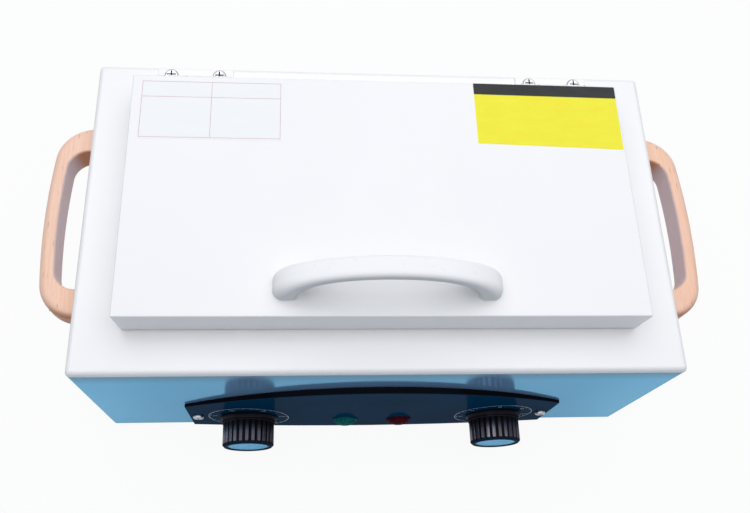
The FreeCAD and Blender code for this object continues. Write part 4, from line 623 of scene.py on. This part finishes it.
def band(shape, centre, inner, outer, start, end, steps):
    """A flat arc of ink on the panel, from one angle to another, clockwise from the top."""
    def at(radius, angle):
        x = centre.x + radius * math.sin(angle)
        return Vector((x, panel_face(x), centre.z + radius * math.cos(angle)))

    closed = abs(end - start) > WHOLE_TURN
    rows = []
    for i in range(steps if closed else steps + 1):
        angle = start + (end - start) * i / steps
        a, b = at(inner, angle), at(outer, angle)
        rows.append([shape.verts.new(p) for p in (a, b, b + INK, a + INK)])
    pairs = list(zip(rows, rows[1:]))
    if closed:
        pairs.append((rows[-1], rows[0]))
    else:
        shape.faces.new(rows[0])
        shape.faces.new(rows[-1])
    for pair in pairs:
        join_rings(shape, pair)


NUMBER_SIZE = 2.5 * MM


def numeral(shape, text, centre):
    """A number in the plain built-in face, flat on the panel."""
    curve = bpy.data.curves.new("numeral", "FONT")
    curve.body = text
    curve.size = NUMBER_SIZE
    curve.align_x = "CENTER"
    curve.align_y = "CENTER"
    curve.extrude = INK.length / 2
    curve.resolution_u = 3
    holder = bpy.data.objects.new("numeral", curve)
    bpy.context.scene.collection.objects.link(holder)
    bpy.context.view_layer.update()
    flat = bpy.data.meshes.new_from_object(holder)
    upright = Matrix.Rotation(math.pi / 2, 4, "X")
    flat.transform(Matrix.Translation(centre + INK / 2) @ upright)
    shape.from_mesh(flat)
    bpy.data.objects.remove(holder)
    bpy.data.curves.remove(curve)
    bpy.data.meshes.remove(flat)


RING_INNER = 25.35 * MM
RING_OUTER = 25.7 * MM
RING_STEPS = 96
TICK_MIDDLE = 24 * MM
LONG_TICK = (23.6 * MM, 0.22 * MM)
SHORT_TICK = (24.3 * MM, 0.14 * MM)
NUMBER_RADIUS = 21.4 * MM


def dial_print(shape, x, sweep, numbers, minor):
    """A ring, its ticks and its numbers around one knob, with minor steps between the numbers."""
    centre = Vector((x, 0, KNOB_Z))
    band(shape, centre, RING_INNER, RING_OUTER, 0, math.tau, RING_STEPS)
    low = math.radians(-sweep / 2)
    span = math.radians(sweep)
    steps = (len(numbers) - 1) * minor
    for i in range(steps + 1):
        angle = low + span * i / steps
        inner, half_width = SHORT_TICK if i % minor else LONG_TICK
        half = half_width / TICK_MIDDLE
        band(shape, centre, inner, RING_INNER, angle - half, angle + half, 1)
    for i, text in enumerate(numbers):
        angle = low + span * i / (len(numbers) - 1)
        middle = centre + Vector((math.sin(angle), 0, math.cos(angle))) * NUMBER_RADIUS
        middle.y = panel_face(middle.x)
        numeral(shape, text, middle + INK)


DIALS = (
    ("temperature", -KNOB_X, 270, ["0", "50", "100", "150", "200", "250"], 5),
    ("timer", KNOB_X, 300, ["0", "20", "40", "60", "80", "100", "120"], 4),
)
for dial, x, sweep, numbers, minor in DIALS:
    name = f"{dial}_scale_print"
    mesh = mesh_from(name, lambda s: dial_print(s, x, sweep, numbers, minor))
    piece(name, mesh, "cabinet", finish["white_ink"])


INDEX_PROFILE = [(18.24, 0.1), (18.24, 0.52), (17.5, 1.16), (16.98, 1.9), (16.76, 2.6),
                 (17.08, 3.2), (16.76, 3.78)]
INDEX_HALF = 0.45 * MM
INDEX_DEPTH = 0.9 * MM


def index_line(shape, x, sweep):
    """A short white line on a knob's flared skirt and bead, at the low end of its sweep."""
    angle = math.radians(-sweep / 2)
    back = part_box("temperature_knob")[1].y
    out = Vector((math.sin(angle), 0, math.cos(angle)))
    side = Vector((math.cos(angle), 0, -math.sin(angle)))
    centre = Vector((x, 0, KNOB_Z))
    rings = []
    for radius, rise in INDEX_PROFILE:
        foot = centre + out * radius * MM + Vector((0, back - rise * MM, 0))
        left, right, deep = foot + side * INDEX_HALF, foot - side * INDEX_HALF, out * INDEX_DEPTH
        rings.append([shape.verts.new(p) for p in (left, right, right - deep, left - deep)])
    join_rings(shape, rings)
    shape.faces.new(rings[0])
    shape.faces.new(rings[-1])


for dial, x, sweep, *_ in DIALS:
    name = f"{dial}_knob_index"
    mesh = mesh_from(name, lambda s: index_line(s, x, sweep))
    piece(name, mesh, f"{dial}_control", finish["white_ink"])


LENS_FLANGE = 1.2 * MM
LENS_CHAMFER = 0.15 * MM
LENS_ROUNDING = 0.2 * MM
LENS_STEP = 0.05 * MM
LENS_BACK_SHARE = 0.96
LENS_LIP_SHARE = 0.975
LENS_FOOT_SHARE = 0.86
LENS_FACE_SHARE = 0.84
LENS_RIBBED_SHARE = 0.99
LENS_DOME_POWER = 2.6
LENS_STEPS = 14
LENS_SIDES = 96
RIB_DEPTH = 0.16 * MM
RIB_PITCH = 1.15 * MM
CREASE = math.radians(35.0)


def ribbed_lens(shape, node):
    """A domed lens with a plain flange and fine upright ribs across its face."""
    low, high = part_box(node)
    cx, cz = (low.x + high.x) / 2, (low.z + high.z) / 2
    rim = (high.x - low.x) / 2
    base, flange, top = high.y, high.y - LENS_FLANGE, low.y
    rings = [(rim * LENS_BACK_SHARE, base), (rim, base - LENS_CHAMFER),
             (rim, flange + LENS_ROUNDING), (rim * LENS_LIP_SHARE, flange),
             (rim * LENS_FOOT_SHARE, flange - LENS_STEP)]
    face = rim * LENS_FACE_SHARE
    for i in range(LENS_STEPS + 1):
        share = 1 - i / LENS_STEPS
        dome = (top - flange) * math.sqrt(max(0.0, 1 - share ** LENS_DOME_POWER))
        rings.append((face * share, flange + dome))
    made = []
    for radius, y in rings[:-1]:
        row = []
        for k in range(LENS_SIDES):
            angle = math.tau * k / LENS_SIDES
            x, z = radius * math.cos(angle), radius * math.sin(angle)
            depth = 0.0
            if radius < face * LENS_RIBBED_SHARE:
                depth = RIB_DEPTH * (0.5 - 0.5 * math.cos(math.tau * x / RIB_PITCH))
            row.append(shape.verts.new((cx + x, y + depth, cz + z)))
        made.append(row)
    tip = shape.verts.new((cx, rings[-1][1], cz))
    back = shape.verts.new((cx, base, cz))
    join_rings(shape, made)
    for k in range(LENS_SIDES):
        m = (k + 1) % LENS_SIDES
        shape.faces.new((made[-1][k], made[-1][m], tip))
        shape.faces.new((made[0][m], made[0][k], back))


def smooth(mesh):
    """Smooth faces, with creases kept where the surface turns more than an angle."""
    mesh.polygons.foreach_set("use_smooth", [True] * len(mesh.polygons))
    mesh.set_sharp_from_angle(angle=CREASE)
    return mesh


for colour in ("green", "red"):
    node = f"{colour}_lamp_lens"
    mesh = smooth(mesh_from(node, lambda s: ribbed_lens(s, node)))
    slot = f"{colour}_lens"
    made = piece(f"{colour}_ribbed_lens", mesh, "cabinet", finish[slot])
    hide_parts(node)


# Stickers on the lid's top

lid_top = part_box("lid_shell")[1].z
FILM = Vector((0, 0, 0.08 * MM))
CORNER_STEPS = 4
RIGHT_LABEL = [(56.7, 85.3), (145.4, 84.9), (145.2, 40.6), (56.8, 43.2)]
LEFT_LABEL = [(-141.6, 82.6), (-58.4, 82.6), (-58.4, 42.4), (-141.6, 42.4)]
HEADER_SHARE = 0.185
LABEL_ROUNDING = 0.9 * MM
HEADER_ROUNDING = 0.5 * MM


def rounded_quad(corners, radius, z):
    """The outline, with small round corners, of a four-sided film given in millimetres."""
    points = []
    count = len(corners)
    for i in range(count):
        here = Vector((*corners[i], 0)) * MM
        before = (Vector((*corners[i - 1], 0)) * MM - here).normalized()
        after = (Vector((*corners[(i + 1) % count], 0)) * MM - here).normalized()
        for k in range(CORNER_STEPS + 1):
            share = k / CORNER_STEPS
            a = here + before * radius * (1 - share)
            b = here + after * radius * share
            points.append(a * (1 - share) + b * share)
    return [Vector((p.x, p.y, z)) for p in points]


def film(name, corners, radius, level, key):
    """A piece of label film lying on the lid, or on a lower film."""
    z = lid_top + FILM.z * level
    mesh = mesh_from(name, lambda s: prism(s, rounded_quad(corners, radius, z), FILM))
    piece(name, mesh, "lid", finish[key])


def between(a, b, share):
    """A point on the way from one to another."""
    return (a[0] + (b[0] - a[0]) * share, a[1] + (b[1] - a[1]) * share)


header = [RIGHT_LABEL[0], RIGHT_LABEL[1], between(RIGHT_LABEL[1], RIGHT_LABEL[2], HEADER_SHARE),
          between(RIGHT_LABEL[0], RIGHT_LABEL[3], HEADER_SHARE)]
film("yellow_label", RIGHT_LABEL, LABEL_ROUNDING, 0, "yellow_vinyl")
film("yellow_label_header", header, HEADER_ROUNDING, 1, "header_vinyl")
film("ruled_label", LEFT_LABEL, LABEL_ROUNDING, 0, "white_vinyl")


RULED_FRAME = (-140.2, -59.8, 43.7, 81.4)
RULED_MIDDLE = -100.1
RULED_HEADER = 70.95
RULE_HALF = 0.14
RULE_LIFT = Vector((0, 0, 0.03 * MM))


def ruled_lines(shape):
    """The ruled frame, its header line and its middle line."""
    x0, x1, y0, y1 = RULED_FRAME
    middle_x, header_y, half = RULED_MIDDLE, RULED_HEADER, RULE_HALF
    strips = [
        (x0 - half, x1 + half, y0 - half, y0 + half), (x0 - half, x1 + half, y1 - half, y1 + half),
        (x0 - half, x0 + half, y0 + half, y1 - half), (x1 - half, x1 + half, y0 + half, y1 - half),
        (x0 + half, x1 - half, header_y - half, header_y + half),
        (middle_x - half, middle_x + half, y0 + half, header_y - half),
        (middle_x - half, middle_x + half, header_y + half, y1 - half),
    ]
    z = lid_top + FILM.z
    for a, b, c, d in strips:
        outline = [Vector((x * MM, y * MM, z)) for x, y in ((a, c), (b, c), (b, d), (a, d))]
        prism(shape, outline, RULE_LIFT)


piece("ruled_label_lines", mesh_from("ruled_label_lines", ruled_lines), "lid",
      finish["red_ink"])


# Studio

WHITE = (1.0, 1.0, 1.0, 1.0)


def stage_surface(name, colour, share, mirrored_share):
    """A plain pale surface that shows nearly white to the camera and keeps a faint shadow."""
    f = Finish(name)
    mottle = f.noise(3.0, 3.0, 0.5)
    tone = f.blend(f.fit(mottle, 0.3, 0.7), colour, shaded(colour, 0.99))
    matt = f.add("ShaderNodeBsdfDiffuse", {}, {"Color": tone})
    shine = f.add("ShaderNodeEmission", {}, {"Color": WHITE, "Strength": 1.0})
    seen = (f.add("ShaderNodeLightPath", {}, {}, "Is Camera Ray") * share
            + f.add("ShaderNodeLightPath", {}, {}, "Is Glossy Ray") * mirrored_share
            + f.add("ShaderNodeLightPath", {}, {}, "Is Transmission Ray") * share)
    f.add_end(f.add("ShaderNodeMixShader", {}, {0: seen, 1: matt, 2: shine}))
    return f.material


FLOOR_REACH = 6.0
FLOOR_DEPTH = Vector((0, 0, 12 * MM))
FLOOR_TONE = (0.86, 0.87, 0.885, 1.0)
floor_corners = [Vector((x * FLOOR_REACH, y * FLOOR_REACH, 0)) - FLOOR_DEPTH
                 for x, y in ((-1, -1), (1, -1), (1, 1), (-1, 1))]
floor_mesh = mesh_from("floor", lambda s: prism(s, floor_corners, FLOOR_DEPTH))
floor = bpy.data.objects.new("floor", floor_mesh)
bpy.context.scene.collection.objects.link(floor)
floor_mesh.materials.append(
    stage_surface("studio_floor", FLOOR_TONE, share=0.93, mirrored_share=0.5))

SKY_TONE = (0.66, 0.80, 1.0, 1.0)
SKY_STRENGTH = 0.25
world = bpy.data.worlds.new("studio")
bpy.context.scene.world = world
world.use_nodes = True
sky = world.node_tree
sky.nodes.clear()
path = sky.nodes.new("ShaderNodeLightPath")
plain = sky.nodes.new("ShaderNodeBackground")
plain.inputs["Color"].default_value = SKY_TONE
plain.inputs["Strength"].default_value = SKY_STRENGTH
white = sky.nodes.new("ShaderNodeBackground")
white.inputs["Color"].default_value = WHITE
white.inputs["Strength"].default_value = 1.0
camera_or_mirror = sky.nodes.new("ShaderNodeMath")
camera_or_mirror.operation = "MAXIMUM"
any_seen = sky.nodes.new("ShaderNodeMath")
any_seen.operation = "MAXIMUM"
choose = sky.nodes.new("ShaderNodeMixShader")
end = sky.nodes.new("ShaderNodeOutputWorld")
for start, stop in (
    (path.outputs["Is Camera Ray"], camera_or_mirror.inputs[0]),
    (path.outputs["Is Glossy Ray"], camera_or_mirror.inputs[1]),
    (camera_or_mirror.outputs[0], any_seen.inputs[0]),
    (path.outputs["Is Transmission Ray"], any_seen.inputs[1]),
    (any_seen.outputs[0], choose.inputs[0]),
    (plain.outputs[0], choose.inputs[1]),
    (white.outputs[0], choose.inputs[2]),
    (choose.outputs[0], end.inputs["Surface"]),
):
    sky.links.new(start, stop)

LAMP_PLACE = Vector((0.0, 0.45, 1.5))
LAMP_TARGET = Vector((0.0, 0.45, 0.0))
LAMP_SIZE = (2.4, 2.1)
LAMP_POWER = 25.6
lamp_data = bpy.data.lights.new("overhead_box", "AREA")
lamp_data.shape = "RECTANGLE"
lamp_data.size, lamp_data.size_y = LAMP_SIZE
lamp_data.energy = LAMP_POWER
lamp = bpy.data.objects.new("overhead_box", lamp_data)
bpy.context.scene.collection.objects.link(lamp)
lamp.location = LAMP_PLACE
lamp.rotation_euler = (LAMP_TARGET - LAMP_PLACE).to_track_quat("-Z", "Y").to_euler()

CAMERA_LENS = 39.128
CAMERA_PLACE = (-0.04770, -0.20192, 0.56987)
CAMERA_TURN = (22.7525, -4.9371, -1.7438)
CAMERA_REACH = (0.01, 50.0)
camera_data = bpy.data.cameras.new("camera")
camera = bpy.data.objects.new("camera", camera_data)
bpy.context.scene.collection.objects.link(camera)
camera_data.sensor_fit = "HORIZONTAL"
camera_data.sensor_width = 36.0
camera_data.lens = CAMERA_LENS
camera_data.clip_start, camera_data.clip_end = CAMERA_REACH
camera.location = CAMERA_PLACE
camera.rotation_euler = tuple(math.radians(a) for a in CAMERA_TURN)
bpy.context.scene.camera = camera
bpy.context.scene.view_settings.view_transform = "Standard"
